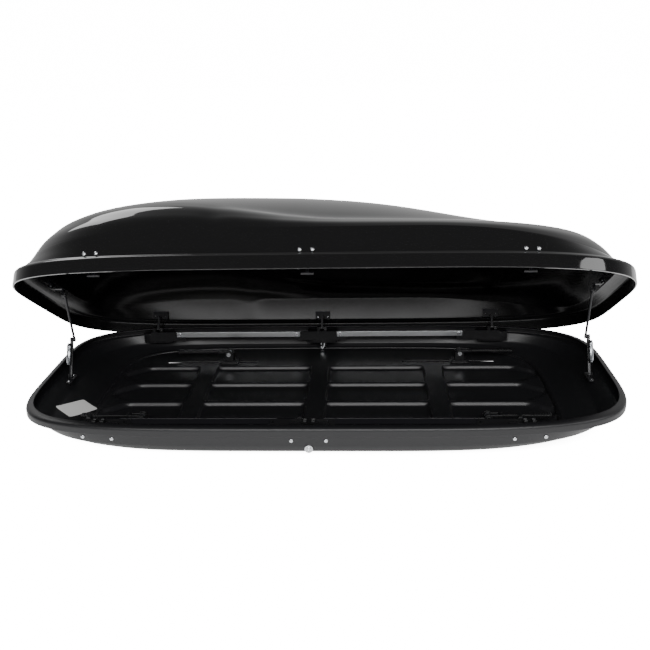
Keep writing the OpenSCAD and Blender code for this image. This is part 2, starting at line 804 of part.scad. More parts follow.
module lifter_link(end) {
  color("#3b3b3e")
    at_lifter(end) {
      difference() {
        eye_bar(knee_y, knee_z, top_y, top_z, 4, link_at, link_t);
        x_pin(knee_y, knee_z, lift_pin_r + run_gap, link_at - cut, link_at + link_t + cut);
      }
      // The pin's head; its shank stops short of the bracket, which it follows by a coupling
      x_pin(top_y, top_z, lift_pin_r + 1.5, link_at + link_t - 0.5, link_at + link_t + 2);
    }
}

ear_t = 4;
// The lid's end wall inside, measured from the box's middle
lid_end_x = lid_l / 2 - 42;
function lid_end(end, h) = lid_l / 2 - sheet_t - lid_inset(end * lid_end_x, h, end == TAIL ? 1 : 2);

// Distance of a bracket's back from the curved wall at its far corner
bracket_seat = 1.3;
bracket_half = 24;
bracket_low = band_h + 8;
bracket_top = 74;

// The end wall curves in along a bracket, so the bracket seats where its far corner meets the wall
function bracket_wall(end) =
  let (n = end == TAIL ? tail_n : nose_n)
  let (corner = pow(1 - pow((abs(bracket_y) + bracket_half) / (lid_w / 2 - 24), n), 1 / n))
  lifter_x - lid_end(end, bracket_top) * corner + bracket_seat;

module lifter_bracket(end) {
  wall = bracket_wall(end);
  ear_x = link_at - side_gap - ear_t;
  color("#202022")
    on_open_lid()
      at_lifter(end)
        difference() {
          union() {
            translate([wall, bracket_y - bracket_half, lid_z + bracket_low])
              cube([foot_t, 2 * bracket_half, bracket_top - bracket_low]);
            translate([wall + foot_t - cut, bracket_y - eye_r, lid_z + bracket_low])
              cube([ear_x + ear_t - wall - foot_t + cut, 2 * eye_r, foot_t]);
            translate([ear_x, bracket_y - eye_r, lid_z + bracket_h])
              cube([ear_t, 2 * eye_r, bracket_low - bracket_h + foot_t]);
            x_pin(bracket_y, lid_z + bracket_h, eye_r, ear_x, ear_x + ear_t);
          }
          for (y = bracket_rivets_y)
            x_pin(y, lid_z + bracket_rivet_h, rivet_r + run_gap, wall - cut, wall + foot_t + cut);
        }
}

// ---------------------------------------------------------------- roof bar clamps

// Place of each clamp along the box: far tail, far nose, near tail, near nose
CLAMP_X = [[-365, 470], [-556, 500]];
pivot_h = 36;
pivot_z = floor_z + pivot_h;
plate_t = 5;
cheek_in = 12.5;
cheek_out = 17;
cheek_r = 14;
hub_in = 5;
// How far a stub pin's end stays clear of the hub's inner face
stub_in = 1.2;
hub_out = 12.1;
hub_r = 12;
cam_offset = 4;
shank_r = 4;
eye_hole_r = cam_offset + 0.75;
eye_out_r = 8;
eye_half = 4.5;
head_half = 11;
head_t = 4;
head_z = 3.5;
// Mean distance of the eccentric from the pivot along the box
eye_x = cam_e * (1 + cos(lever_angle / 2)) / 2;
cam_rise = cam_e * sin(lever_angle / 2);

// Clamp frame: children built with the lever pointing to -X, origin at the slot's centre line
module at_clamp(side, end) {
  translate([CLAMP_X[side == FAR ? 0 : 1][end == TAIL ? 0 : 1], side * slot_y, 0])
    mirror([end == NOSE ? 1 : 0, 0, 0])
      children();
}

module clamp_body(side, end) {
  color("#161618")
    at_clamp(side, end)
      difference() {
        union() {
          translate([-34, -25, floor_z + seat])
            cube([68, 50, plate_t]);
          for (y = [-cheek_out, cheek_in]) {
            translate([-cheek_r, y, floor_z + seat])
              cube([2 * cheek_r, cheek_out - cheek_in, pivot_h - seat]);
            translate([0, y, pivot_z])
              rotate([-90, 0, 0])
                cylinder(r = cheek_r, h = cheek_out - cheek_in);
          }
          // Hood closing the inner side behind the hub
          translate([hub_r + 0.8, -cheek_out, floor_z + seat])
            cube([4, 2 * cheek_out, pivot_h + 4]);
        }
        translate([0, 0, pivot_z])
          rotate([90, 0, 0])
            cylinder(r = pivot_r + run_gap, h = 2 * cheek_out + 2 * cut, center = true);
        translate([eye_x, 0, floor_z - cut])
          cylinder(r = shank_r + 0.6, h = plate_t + seat + 2 * cut);
      }
}

// The two stub pins that carry a lever's hub discs in the cheeks, each with a head
module clamp_pin(side, end) {
  at_clamp(side, end)
    for (m = [0, 1])
      mirror([0, m, 0])
        translate([0, hub_in + stub_in, pivot_z])
          rotate([-90, 0, 0]) {
            cylinder(r = pivot_r, h = cheek_out - hub_in - stub_in + cut);
            translate([0, 0, cheek_out - hub_in - stub_in + 0.2])
              cylinder(r = pivot_r + 2.5, h = 2);
          }
}

module clamp_pins() {
  color("#c9cbcd")
    for (side = [NEAR, FAR], end = [TAIL, NOSE])
      clamp_pin(side, end);
}

lever_w = 20;
lever_t = 9;
grip_n = 6;

// Lever: two hub discs on the pivot pin, joined by the eccentric, and a flat arm with a ribbed grip
module clamp_lever(side, end) {
  color("#1b1b1d")
    at_clamp(side, end)
      translate([0, 0, pivot_z])
        difference() {
          union() {
            for (y = [-hub_out, hub_in])
              translate([0, y, 0])
                rotate([-90, 0, 0])
                  cylinder(r = hub_r, h = hub_out - hub_in);
            translate([cam_e * cos(lever_angle / 2), 0, cam_e * sin(lever_angle / 2)])
              rotate([90, 0, 0])
                cylinder(r = cam_offset, h = 2 * hub_in + 2, center = true);
            for (y = [-hub_out, hub_in])
              translate([-44, y, 2])
                cube([44, hub_out - hub_in, lever_t]);
            translate([-lever_l, -lever_w / 2, 2])
              cube([lever_l - 30, lever_w, lever_t]);
            for (k = [0 : grip_n - 1])
              translate([-lever_l + 4 + 8 * k, -lever_w / 2 - 1, 1])
                cube([4, lever_w + 2, lever_t + 2]);
          }
          for (y = [-hub_out - cut, hub_in])
            translate([0, y, 0])
              rotate([-90, 0, 0])
                cylinder(r = pivot_r + run_gap, h = hub_out - hub_in + cut);
        }
}

// T-bolt: square head that slides in a roof bar's track, shank and the eye round the eccentric
module t_bolt(side, end) {
  color("#9fa2a6")
    at_clamp(side, end) {
      eye_z = pivot_z + cam_rise;
      translate([eye_x, 0, 0]) {
        translate([-head_half, -head_half, head_z])
          cube([2 * head_half, 2 * head_half, head_t]);
        translate([0, 0, head_z + head_t - cut])
          cylinder(r = shank_r, h = eye_z - eye_hole_r - 1.5 - head_z - head_t + cut);
        translate([0, 0, eye_z])
          rotate([90, 0, 0])
            difference() {
              cylinder(r = eye_out_r, h = 2 * eye_half, center = true);
              cylinder(r = eye_hole_r, h = 2 * eye_half + 2 * cut, center = true);
            }
      }
    }
}

// ---------------------------------------------------------------- fasteners and label

// A domed rivet along -Y from its head, its shank running into the wall
module rivet(shank) {
  rotate([90, 0, 0]) {
    translate([0, 0, -rivet_head_t])
      cylinder(r = rivet_head_r, h = rivet_head_t);
    translate([0, 0, -cut])
      cylinder(r = rivet_r, h = shank + cut);
  }
}

// Where a head clears the wall, which leans and curves under it
function rivet_seat(x) =
  max([for (d = [-rivet_head_r, rivet_head_r]) tray_half(WALL_OUT, x + d, rivet_z + rivet_head_r)]) + 0.1;
function lid_rivet_seat(x) =
  max([for (d = [-rivet_head_r, rivet_head_r]) lid_half(x + d, striker_rivet_h - rivet_head_r, 0)]) + 0.1;

module tray_rivets() {
  color("#d0d2d4") {
    for (side = [NEAR, FAR], k = [0 : 2], x = housing_rivets(k))
      mirror([0, side == NEAR ? 1 : 0, 0])
        translate([x, rivet_seat(x), rivet_z])
          rivet(16);
    for (end = [TAIL, NOSE], y = foot_rivets_y)
      translate([end * lifter_x, y, foot_low + foot_t + 0.2])
        rotate([90, 0, 0])
          rivet(foot_low + foot_t - foot_rivet_end);
  }
}

module lid_rivets() {
  color("#d0d2d4")
    on_open_lid() {
      for (side = [NEAR, FAR], x = striker_rivets)
        mirror([0, side == NEAR ? 1 : 0, 0])
          translate([x, lid_rivet_seat(x), lid_z + striker_rivet_h])
            rivet(12);
      for (end = [TAIL, NOSE], y = bracket_rivets_y)
        at_lifter(end) {
          wall = bracket_wall(end);
          x_pin(y, lid_z + bracket_rivet_h, rivet_r, wall + 0.2, wall + foot_t + cut);
          x_pin(y, lid_z + bracket_rivet_h, rivet_head_r, wall + foot_t + 0.2, wall + foot_t + rivet_head_t);
        }
    }
}

label_l = 106;
label_w = 76;
label_t = 0.6;
label_in = 130;
label_up = 14.5;

// Blank information label on the slope behind the tail end of the floor
module info_label() {
  color("#d8d8da")
    translate([label_in - tray_l / 2, -0.172 * tray_w, floor_z + label_up])
      rotate([0, 12, 0])
        rotate([0, 0, 54])
          translate([-label_l / 2, -label_w / 2, 0])
            cube([label_l, label_w, label_t]);
}

// ---------------------------------------------------------------- nodes

tray_shell();
lid_shell();
housing(FAR, 0);  // housing_far_tail
housing(FAR, 1);  // housing_far_mid
housing(FAR, 2);  // housing_far_nose
housing(NEAR, 0);  // housing_near_tail
housing(NEAR, 1);  // housing_near_mid
housing(NEAR, 2);  // housing_near_nose
striker(FAR, 0);  // striker_far_tail
striker(FAR, 1);  // striker_far_mid
striker(FAR, 2);  // striker_far_nose
striker(NEAR, 0);  // striker_near_tail
striker(NEAR, 1);  // striker_near_mid
striker(NEAR, 2);  // striker_near_nose
slide(FAR, 0);  // slide_far_tail
slide(FAR, 1);  // slide_far_mid
slide(FAR, 2);  // slide_far_nose
slide(NEAR, 0);  // slide_near_tail
slide(NEAR, 1);  // slide_near_mid
slide(NEAR, 2);  // slide_near_nose
tie_bar(FAR, 0);  // tie_bar_far_tail
tie_bar(FAR, 1);  // tie_bar_far_nose
tie_bar(NEAR, 0);  // tie_bar_near_tail
tie_bar(NEAR, 1);  // tie_bar_near_nose
bar_screws(FAR);  // bar_screws_far
bar_screws(NEAR);  // bar_screws_near
lock_bush(FAR);  // lock_bush_far
lock_bush(NEAR);  // lock_bush_near
key_barrel(FAR);  // key_barrel_far
key_barrel(NEAR);  // key_barrel_near
lifter_foot(TAIL);  // lifter_foot_tail
lifter_arm(TAIL);  // lifter_arm_tail
spring_tube(TAIL);  // spring_tube_tail
lifter_link(TAIL);  // lifter_link_tail
lifter_bracket(TAIL);  // lifter_bracket_tail
lifter_foot(NOSE);  // lifter_foot_nose
lifter_arm(NOSE);  // lifter_arm_nose
spring_tube(NOSE);  // spring_tube_nose
lifter_link(NOSE);  // lifter_link_nose
lifter_bracket(NOSE);  // lifter_bracket_nose
clamp_body(FAR, TAIL);  // clamp_body_far_tail
clamp_body(FAR, NOSE);  // clamp_body_far_nose
clamp_body(NEAR, TAIL);  // clamp_body_near_tail
clamp_body(NEAR, NOSE);  // clamp_body_near_nose
clamp_lever(FAR, TAIL);  // clamp_lever_far_tail
clamp_lever(FAR, NOSE);  // clamp_lever_far_nose
clamp_lever(NEAR, TAIL);  // clamp_lever_near_tail
clamp_lever(NEAR, NOSE);  // clamp_lever_near_nose
t_bolt(FAR, TAIL);  // t_bolt_far_tail
t_bolt(FAR, NOSE);  // t_bolt_far_nose
t_bolt(NEAR, TAIL);  // t_bolt_near_tail
t_bolt(NEAR, NOSE);  // t_bolt_near_nose
clamp_pins();
tray_rivets();
lid_rivets();
info_label();
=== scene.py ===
# %% [markdown]
# # Roof cargo box
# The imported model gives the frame: every piece with its real size and place. This lesson builds the
# smooth shells, the moulded fittings and the surface finishes round it, then lights it like a product.

import json
import math

import bmesh
import bpy
import numpy as np
from mathutils import Matrix, Vector


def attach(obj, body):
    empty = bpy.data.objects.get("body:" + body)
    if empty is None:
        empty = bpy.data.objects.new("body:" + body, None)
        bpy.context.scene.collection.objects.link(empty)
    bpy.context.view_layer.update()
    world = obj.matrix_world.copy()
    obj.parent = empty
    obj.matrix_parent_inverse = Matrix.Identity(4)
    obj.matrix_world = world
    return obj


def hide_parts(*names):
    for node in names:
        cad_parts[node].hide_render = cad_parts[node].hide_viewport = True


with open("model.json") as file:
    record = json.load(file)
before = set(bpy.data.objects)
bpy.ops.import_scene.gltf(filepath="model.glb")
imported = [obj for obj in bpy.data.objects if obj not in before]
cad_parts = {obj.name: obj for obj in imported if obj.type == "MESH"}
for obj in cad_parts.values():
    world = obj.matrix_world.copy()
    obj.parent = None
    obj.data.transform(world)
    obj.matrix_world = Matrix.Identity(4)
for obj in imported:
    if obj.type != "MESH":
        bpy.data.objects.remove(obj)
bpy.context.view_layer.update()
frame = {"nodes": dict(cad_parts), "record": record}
NODES = frame["nodes"]

MM = 0.001
TRAY_L, TRAY_W, RIM = 1860 * MM, 840 * MM, 100 * MM
SHEET, PAD_D = 3.5 * MM, 12 * MM
FLOOR = PAD_D + SHEET
LID_OVER, LID_H, BAND = 20 * MM, 345 * MM, 44 * MM
LID_Z = RIM - 3 * MM
LID_L, LID_W = TRAY_L + 2 * LID_OVER, TRAY_W + 2 * LID_OVER
HINGE_Y, HINGE_Z = TRAY_W / 2 - 50 * MM, RIM + 3 * MM
OPEN = math.radians(33)
TAIL_N, NOSE_N = 5.0, 4.4
print("frame nodes:", len(NODES))

# %% [markdown]
# ## Surfaces as functions
# Both shells are stacks of rings. Each ring is a superellipse, |x/a|^n + |y/b|^n = 1, whose half
# length a and exponent n differ at the tail and the nose. A row of the stack says how far the ring
# is inset at the sides, the tail and the nose, and how high it lies.

# %% Rings and rounded profiles
RING_N = 640


def outline(tail, nose, half, count=RING_N):
    """Points of one superellipse ring: the angle runs once round, crowded into the four corners."""
    t = np.linspace(0, 2 * np.pi, count, endpoint=False)
    a = t - np.radians(8) * np.sin(4 * t)
    c, s = np.cos(a), np.sin(a)
    n = np.where(c < 0, TAIL_N, NOSE_N)
    x = np.where(c < 0, tail, nose) * np.sign(c) * np.abs(c) ** (2 / n)
    y = half * np.sign(s) * np.abs(s) ** (2 / n)
    return np.stack([x, y], 1)


def rounded(rows, radii, steps=5):
    """A polyline in any number of dimensions, each inner corner replaced by a parabola arc of that reach."""
    rows = np.asarray(rows, float)
    out = [rows[0]]
    for k in range(1, len(rows) - 1):
        p, before, after = rows[k], rows[k - 1] - rows[k], rows[k + 1] - rows[k]
        a, b = np.linalg.norm(before), np.linalg.norm(after)
        reach = min(radii[k], 0.48 * a, 0.48 * b)
        start, end = p + before / a * reach, p + after / b * reach
        for u in np.linspace(0, 1, steps):
            out.append((1 - u) ** 2 * start + 2 * u * (1 - u) * p + u ** 2 * end)
    out.append(rows[-1])
    return np.array(out)


def smooth(t):
    """Smooth step: 0 below 0, 1 above 1, and 3t^2 - 2t^3 between."""
    u = np.clip(t, 0, 1)
    return u * u * (3 - 2 * u)


def surface(name, grid, material, wrap_rows=False, wrap_cols=True, flip=False, slots=None):
    """A mesh through a grid of points, rows by columns. Repeated points are welded, so poles close cleanly;
    slots gives the material of each row of faces."""
    m, n = grid.shape[:2]
    key = np.round(grid.reshape(-1, 3) * 1e6).astype(np.int64)
    _, first, index = np.unique(key, axis=0, return_index=True, return_inverse=True)
    index = index.reshape(m, n)
    points = grid.reshape(-1, 3)[first]
    r = np.arange(m if wrap_rows else m - 1)
    c = np.arange(n if wrap_cols else n - 1)
    R, C = np.meshgrid(r, c, indexing="ij")
    R2, C2 = (R + 1) % m, (C + 1) % n
    quads = np.stack([index[R, C], index[R, C2], index[R2, C2], index[R2, C]], -1).reshape(-1, 4)
    rows_of = R.reshape(-1)
    if flip:
        quads = quads[:, ::-1]
    return mesh(name, points, quads, material, None if slots is None else slots[rows_of])


def mesh(name, points, quads, material, face_slots=None):
    """A smooth-shaded mesh from points and quads; quads with welded corners become triangles."""
    faces, keep = [], []
    for i, q in enumerate(quads.tolist()):
        f = [v for k, v in enumerate(q) if v != q[k - 1]]
        if len(set(f)) == len(f) and len(f) > 2:
            faces.append(f)
            keep.append(i)
    data = bpy.data.meshes.new(name)
    data.from_pydata(points.tolist(), [], faces)
    for mat in material if isinstance(material, (list, tuple)) else [material]:
        data.materials.append(mat)
    if face_slots is not None:
        data.polygons.foreach_set("material_index", np.asarray(face_slots, np.int32)[keep])
    data.polygons.foreach_set("use_smooth", np.ones(len(faces), bool))
    data.update()
    obj = bpy.data.objects.new(name, data)
    bpy.context.scene.collection.objects.link(obj)
    return obj


def ride(obj, body, slot, *nodes):
    """The piece moves with a body and stands for CAD nodes, which it hides. slot is not used."""
    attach(obj, body)
    if nodes:
        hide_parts(*nodes)
    return obj


# %% [markdown]
# ## Finishes
# Colours are written as the sRGB value the eye sees and turned into linear light once, here.

# %% Shader helpers
def srgb(code):
    """Linear colour from a hex code."""
    v = np.array([int(code[i:i + 2], 16) for i in (1, 3, 5)]) / 255
    lin = np.where(v <= 0.04045, v / 12.92, ((v + 0.055) / 1.055) ** 2.4)
    return (*lin, 1.0)


class Shader:
    """A material under construction: add() makes a node and sets its inputs, or links them to sockets."""

    def __init__(self, name):
        self.mat = bpy.data.materials.new(name)
        self.mat.use_nodes = True
        self.tree = self.mat.node_tree
        self.tree.nodes.clear()
        self.out = self.tree.nodes.new("ShaderNodeOutputMaterial")

    def add(self, kind, out=0, inputs=None, **settings):
        node = self.tree.nodes.new("ShaderNode" + kind)
        for key, value in settings.items():
            setattr(node, key, value)
        for key, value in (inputs or {}).items():
            if isinstance(value, bpy.types.NodeSocket):
                self.tree.links.new(value, node.inputs[key])
            else:
                node.inputs[key].default_value = value
        return node.outputs[out]

    def finish(self, shader):
        self.tree.links.new(shader, self.out.inputs["Surface"])
        return self.mat


def plastic(name, colour, rough, grain_mm, grain, spread=0.05, coat=0.0, wave_mm=0.0, wave=0.0, ior=1.52):
    """Moulded plastic: a base colour, a roughness that varies softly, and a fine grain and a slow waviness,
    given by their spacing and depth in millimetres, in the bump."""
    s = Shader(name)
    at = s.add("TexCoord", out=3)
    cloud = s.add("TexNoise", inputs={"Vector": at, "Scale": 9.0, "Detail": 4.0})
    roughness = s.add("MapRange", inputs={"Value": cloud, "To Min": rough - spread, "To Max": rough + spread})
    normal = None
    if wave:
        slow = s.add("TexNoise", inputs={"Vector": at, "Scale": 1000 / wave_mm, "Detail": 1.0})
        normal = s.add("Bump", inputs={"Height": slow, "Strength": 1.0, "Distance": wave * MM})
    if grain:
        fine = s.add("TexVoronoi", inputs={"Vector": at, "Scale": 1000 / grain_mm}, feature="SMOOTH_F1")
        given = {"Height": fine, "Strength": 1.0, "Distance": grain * MM}
        if normal is not None:
            given["Normal"] = normal
        normal = s.add("Bump", inputs=given)
    inputs = {"Base Color": srgb(colour), "Roughness": roughness, "IOR": ior,
              "Coat Weight": coat, "Coat Roughness": 0.03}
    if normal is not None:
        inputs["Normal"] = normal
    return s.finish(s.add("BsdfPrincipled", inputs=inputs))


def metal(name, colour, rough, scratch_mm, stretch, depth):
    """Bare or plated metal: fine scratches stretched along the rolling direction."""
    s = Shader(name)
    at = s.add("TexCoord", out=3)
    wide = s.add("Mapping", inputs={"Vector": at, "Scale": stretch})
    grain = s.add("TexNoise", inputs={"Vector": wide, "Scale": 1000 / scratch_mm, "Detail": 3.0})
    roughness = s.add("MapRange", inputs={"Value": grain, "To Min": rough * 0.75, "To Max": rough * 1.3})
    normal = s.add("Bump", inputs={"Height": grain, "Strength": 1.0, "Distance": depth * MM})
    return s.finish(s.add("BsdfPrincipled", inputs={
        "Base Color": srgb(colour), "Roughness": roughness, "Metallic": 1.0, "Normal": normal}))


# %% The finishes
# Deep black, mirror-like outside of the lid, with the faint waviness of a vacuum-formed sheet
gloss_black = plastic("gloss black ABS", "#0c0c0d", 0.055, 0, 0, spread=0.02, coat=0.6, wave_mm=140, wave=0.25)
# Inside of the same sheet: duller, very lightly grained; its colour is darker than the outside's as painted shade,
# and an IOR of 1.3 dims its reflections
lid_inside_painted_shade = plastic(
    "semi-gloss black ABS inside", "#060607", 0.22, 2.0, 0.004, spread=0.04, wave_mm=120, wave=0.35, ior=1.3)
# Tray outside and inside: black, satin, with a fine leather grain that softens its highlights
tray_black = plastic("satin grained ABS", "#1b1b1d", 0.38, 1.6, 0.03, spread=0.06, wave_mm=160, wave=0.3)
# Glass-filled nylon of the latches and clamps: black, matt, slightly dry
nylon_black = plastic("matt black nylon", "#141416", 0.45, 0.8, 0.02, spread=0.07)
# Black coated steel of the lifters and strikers: harder and shinier than the plastic
coated = plastic("black coated steel", "#1d1d20", 0.3, 0.6, 0.01, spread=0.06)
# Lock bars: pale, satin extruded aluminium with lengthwise lines
aluminium = metal("satin aluminium", "#e4e6e8", 0.42, 1.2, (0.03, 1, 1), 0.004)
# Spring tubes: drawn aluminium, greyer and smoother than the bars
tube_metal = metal("drawn aluminium", "#a4a7ab", 0.25, 1.0, (1, 1, 0.05), 0.003)
# Screws, rivets and pins: bright plated steel
bright = metal("bright plated steel", "#dfe1e4", 0.2, 0.5, (1, 1, 1), 0.002)
# T-bolts: dull zinc
zinc = metal("dull zinc", "#9ea2a8", 0.42, 0.7, (1, 1, 1), 0.003)
# Blank label: white film, faintly off-white
label_white = plastic("white label film", "#ececea", 0.42, 0, 0)
SLOT_FINISH = {
    "tray_plastic": tray_black, "lid_gloss_plastic": gloss_black, "fitting_plastic": nylon_black,
    "bar_aluminium": aluminium, "coated_steel": coated, "zinc_steel": zinc, "bright_steel": bright,
    "label_film": label_white,
}
for part in frame["record"]["subparts"]:
    node = NODES[part["node"]]
    node.data.materials.clear()
    node.data.materials.append(SLOT_FINISH[part["material_slot"]])
print("finishes:", len(SLOT_FINISH) + 2)

# %% [markdown]
# ## Tray
# The wall is one closed band of rings: up the outside, round the rolled rim, down the inside.
# Sharp bends of a formed sheet are small arcs, so every corner row is rounded.

# %% Tray wall
# Inset at the sides, tail and nose, and height (mm), up the outside and then down the inside
OUT = [
    (34, 184, 194, 12), (20, 162, 172, 14), (10, 124, 134, 24), (6, 68, 78, 38), (4, 20, 26, 69),
    (0, 0, 0, 72), (0, 0, 0, 90), (3, 3, 3, 96), (10, 10, 10, 99.2), (20, 20, 20, 100),
]
IN = [
    (22, 22, 22, 99), (22, 22, 22, 96.5), (11, 11, 11, 95.5), (4.5, 4.5, 4.5, 91.5), (3.5, 3.5, 3.5, 75.5),
    (7.5, 25.5, 31.5, 72), (9.5, 73.5, 83.5, 41.5), (13.5, 128.5, 138.5, 27.5), (23.5, 168.5, 178.5, 17.5),
    (37.5, 190.5, 200.5, 15.5),
]
# How far the arc at each of those corners reaches (mm)
REACH = [0, 10, 8, 12, 2.2, 2.2, 5, 5, 6, 1.4, 1.4, 1.2, 3, 4, 3, 4, 12, 8, 9, 0]
wall_rows = rounded(np.array(OUT + IN) * MM, np.array(REACH) * MM)


def tray_ring(row):
    """One ring of the tray's wall, from its insets and height."""
    xy = outline(TRAY_L / 2 - row[1], TRAY_L / 2 - row[2], TRAY_W / 2 - row[0])
    return np.column_stack([xy, np.full(len(xy), row[3])])


tray_wall = surface("tray_wall", np.array([tray_ring(r) for r in wall_rows]), tray_black, wrap_rows=True)
ride(tray_wall, "tray", "tray_plastic", "tray_shell")

# %% [markdown]
# The floor is a grid whose lines crowd at the edges of the pads and slots. Its height is the floor's
# plane less the depth of the pads, which fade in over their leaning walls.

# %% Tray floor
# Ends of the pads as shares of the tray's half length, and the middles of their rows
COLUMNS = [(-0.775, -0.50), (-0.432, -0.067), (0.002, 0.364), (0.434, 0.78)]
ROWS = (-147 * MM, 0.0, 147 * MM)
PAD_HALF, PAD_POINT, PAD_BLUNT = 62 * MM, 70 * MM, 6 * MM
PAD_SOFT, PAD_WALL_OUT, PAD_WALL = 3.0 * MM, 6.5 * MM, 8.5 * MM
SLOT_X, SLOT_Y, SLOT_L, SLOT_W = 430 * MM, 255 * MM, 330 * MM, 11 * MM


def pad_outline(column):
    """Corners of a pad about y = 0, counter-clockwise: blunt, but the outer end of the first and the last
    pad is pointed."""
    x0, x1 = (v * TRAY_L / 2 for v in COLUMNS[column])
    h = PAD_HALF
    a = PAD_POINT if column == 0 else PAD_BLUNT
    b = PAD_POINT if column == len(COLUMNS) - 1 else PAD_BLUNT
    return np.array([(x0, -0.2 * h), (x0 + a, -h), (x1 - b, -h), (x1, -0.2 * h),
                     (x1, 0.2 * h), (x1 - b, h), (x0 + a, h), (x0, 0.2 * h)])


def pad_depth(x, y):
    """Depth of the floor below its plane: the distance to each pad's outline, softened at its corners,
    through a smooth step over its leaning wall."""
    depth = np.zeros_like(x)
    for row in ROWS:
        for column in range(len(COLUMNS)):
            corners = pad_outline(column)
            total = np.zeros_like(x)
            for k in range(len(corners)):
                p, q = corners[k], corners[(k + 1) % len(corners)]
                edge = (q - p) / np.linalg.norm(q - p)
                d = (x - p[0]) * edge[1] - (y - row - p[1]) * edge[0]
                total += np.exp(np.clip(d / PAD_SOFT, -40, 40))
            distance = PAD_SOFT * np.log(total)
            depth = np.maximum(depth, PAD_D * smooth((PAD_WALL_OUT - distance) / PAD_WALL))
    return depth


def spaced(low, high, marks, fine, coarse):
    """Grid lines from low to high: a fine cluster round each mark, and never further apart than coarse."""
    lines = [low, high] + [m + d * fine for m in marks for d in (-3, -2, -1, 0, 1, 2, 3)]
    lines = np.unique(np.round([v for v in lines if low <= v <= high], 6))
    out = []
    for a, b in zip(lines[:-1], lines[1:]):
        out += list(np.linspace(a, b, max(1, math.ceil((b - a) / coarse)) + 1)[:-1])
    return np.array(out + [lines[-1]])


def half_at(x, tail, nose, half):
    """Half width of a superellipse ring at x."""
    a = np.where(x < 0, tail, nose)
    n = np.where(x < 0, TAIL_N, NOSE_N)
    return half * (1 - np.clip(np.abs(x) / a, 0, 1) ** n) ** (1 / n)


BOTH = (-1, 1)
MID_TAIL, MID_NOSE, MID_HALF, NARROW = -0.7, 0.69, 0.262, 0.285
x_marks = [v * TRAY_L / 2 for c in COLUMNS for v in c]
x_marks += [sx * SLOT_X + s * SLOT_L / 2 for sx in BOTH for s in BOTH]
y_marks = [r + s * 65 * MM for r in ROWS for s in BOTH]
y_marks += [s * SLOT_Y + d * SLOT_W / 2 for s in BOTH for d in BOTH]
y_lines = spaced(-MID_HALF, MID_HALF, y_marks, 1.8 * MM, 9 * MM)
side_steps = np.linspace(0, 1, 9)[1:]
END_N = 16


def floor_grid(tail, nose, half, z):
    """Points of the floor inside one ring: fixed lines across the middle, squeezed where the ring closes
    at the ends, where the lines crowd as the sine does towards a quarter turn."""
    crowd = np.sin(np.linspace(0, np.pi / 2, END_N)[1:])
    mid = spaced(MID_TAIL, MID_NOSE, x_marks, 2.2 * MM, 12 * MM)
    x = np.concatenate([MID_TAIL - (tail + MID_TAIL) * crowd[::-1], mid, MID_NOSE + (nose - MID_NOSE) * crowd])
    w = half_at(x, tail, nose, half)
    scale = np.minimum(1, w / NARROW)
    inner = y_lines[None, :] * scale[:, None]
    edge = MID_HALF * scale
    outer = edge[:, None] + (w - edge)[:, None] * side_steps[None, :]
    y = np.concatenate([-outer[:, ::-1], inner, outer], 1)
    xx = np.repeat(x[:, None], y.shape[1], 1)
    return np.stack([xx, y, z - pad_depth(xx, y)], -1)


def in_slot(p):
    """True where a point lies in one of the four clamp slots, which have round ends."""
    x, y = np.abs(p[..., 0]) - SLOT_X, np.abs(p[..., 1]) - SLOT_Y
    dx = np.maximum(np.abs(x) - (SLOT_L - SLOT_W) / 2, 0)
    return np.hypot(dx, y) < SLOT_W / 2 * 1.02


def floor_in(row, z):
    """The floor inside a ring of the wall, at a height."""
    return floor_grid(TRAY_L / 2 - row[1] * MM, TRAY_L / 2 - row[2] * MM, TRAY_W / 2 - row[0] * MM, z)


top, under = floor_in(IN[-1], FLOOR), floor_in(OUT[0], PAD_D)


def slab(name, top, under, keep, material):
    """A thin sheet between two grids, with only the cells of keep, and every open edge closed."""
    m, n = top.shape[:2]
    pts = np.concatenate([top.reshape(-1, 3), under.reshape(-1, 3)])
    key = np.round(pts * 1e6).astype(np.int64)
    _, first, index = np.unique(key, axis=0, return_index=True, return_inverse=True)
    index = index.reshape(-1)
    idx = np.arange(m * n).reshape(m, n)
    quads = []
    for i, j in zip(*np.nonzero(keep)):
        a, b, c, d = idx[i, j], idx[i + 1, j], idx[i + 1, j + 1], idx[i, j + 1]
        quads.append((a, b, c, d))
        quads.append((d + m * n, c + m * n, b + m * n, a + m * n))
        for (p, q), (di, dj) in (((a, b), (0, -1)), ((b, c), (1, 0)), ((c, d), (0, 1)), ((d, a), (-1, 0))):
            u, v = i + di, j + dj
            if not (0 <= u < m - 1 and 0 <= v < n - 1) or not keep[u, v]:
                quads.append((q, p, p + m * n, q + m * n))
    return mesh(name, pts[first], index[np.array(quads)], material)


centre = (top[:-1, :-1] + top[1:, :-1] + top[1:, 1:] + top[:-1, 1:]) / 4
tray_floor = slab("tray_floor", top, under, ~in_slot(centre), tray_black)
ride(tray_floor, "tray", "tray_plastic")
print("tray faces:", len(tray_wall.data.polygons) + len(tray_floor.data.polygons))

# %% [markdown]
# ## Lid
# The lid's stack has two more numbers in a row: the share of the way up to the crease and the ridge,
# whose heights run along the box, and the share left to the middle of the deck.

# %% Lid
SHOULDER = BAND + 6 * MM
RIDGE_X = 80 * MM


def crease_at(x):
    """Height of the crease along the side: it falls towards both ends and has a shallow dip behind the middle."""
    to_nose, to_tail = np.maximum(0, x - 0.3) / 0.6, np.maximum(0, -x - 0.5) / 0.4
    dip = 0.011 * np.exp(-((x + 0.31) / 0.035) ** 2) - 0.004 * smooth((x + 0.35) / 0.12) + 0.004
    return np.maximum(SHOULDER + 8 * MM, 0.38 * LID_H - 0.083 * to_nose ** 2 - 0.047 * to_tail ** 2 - dip)


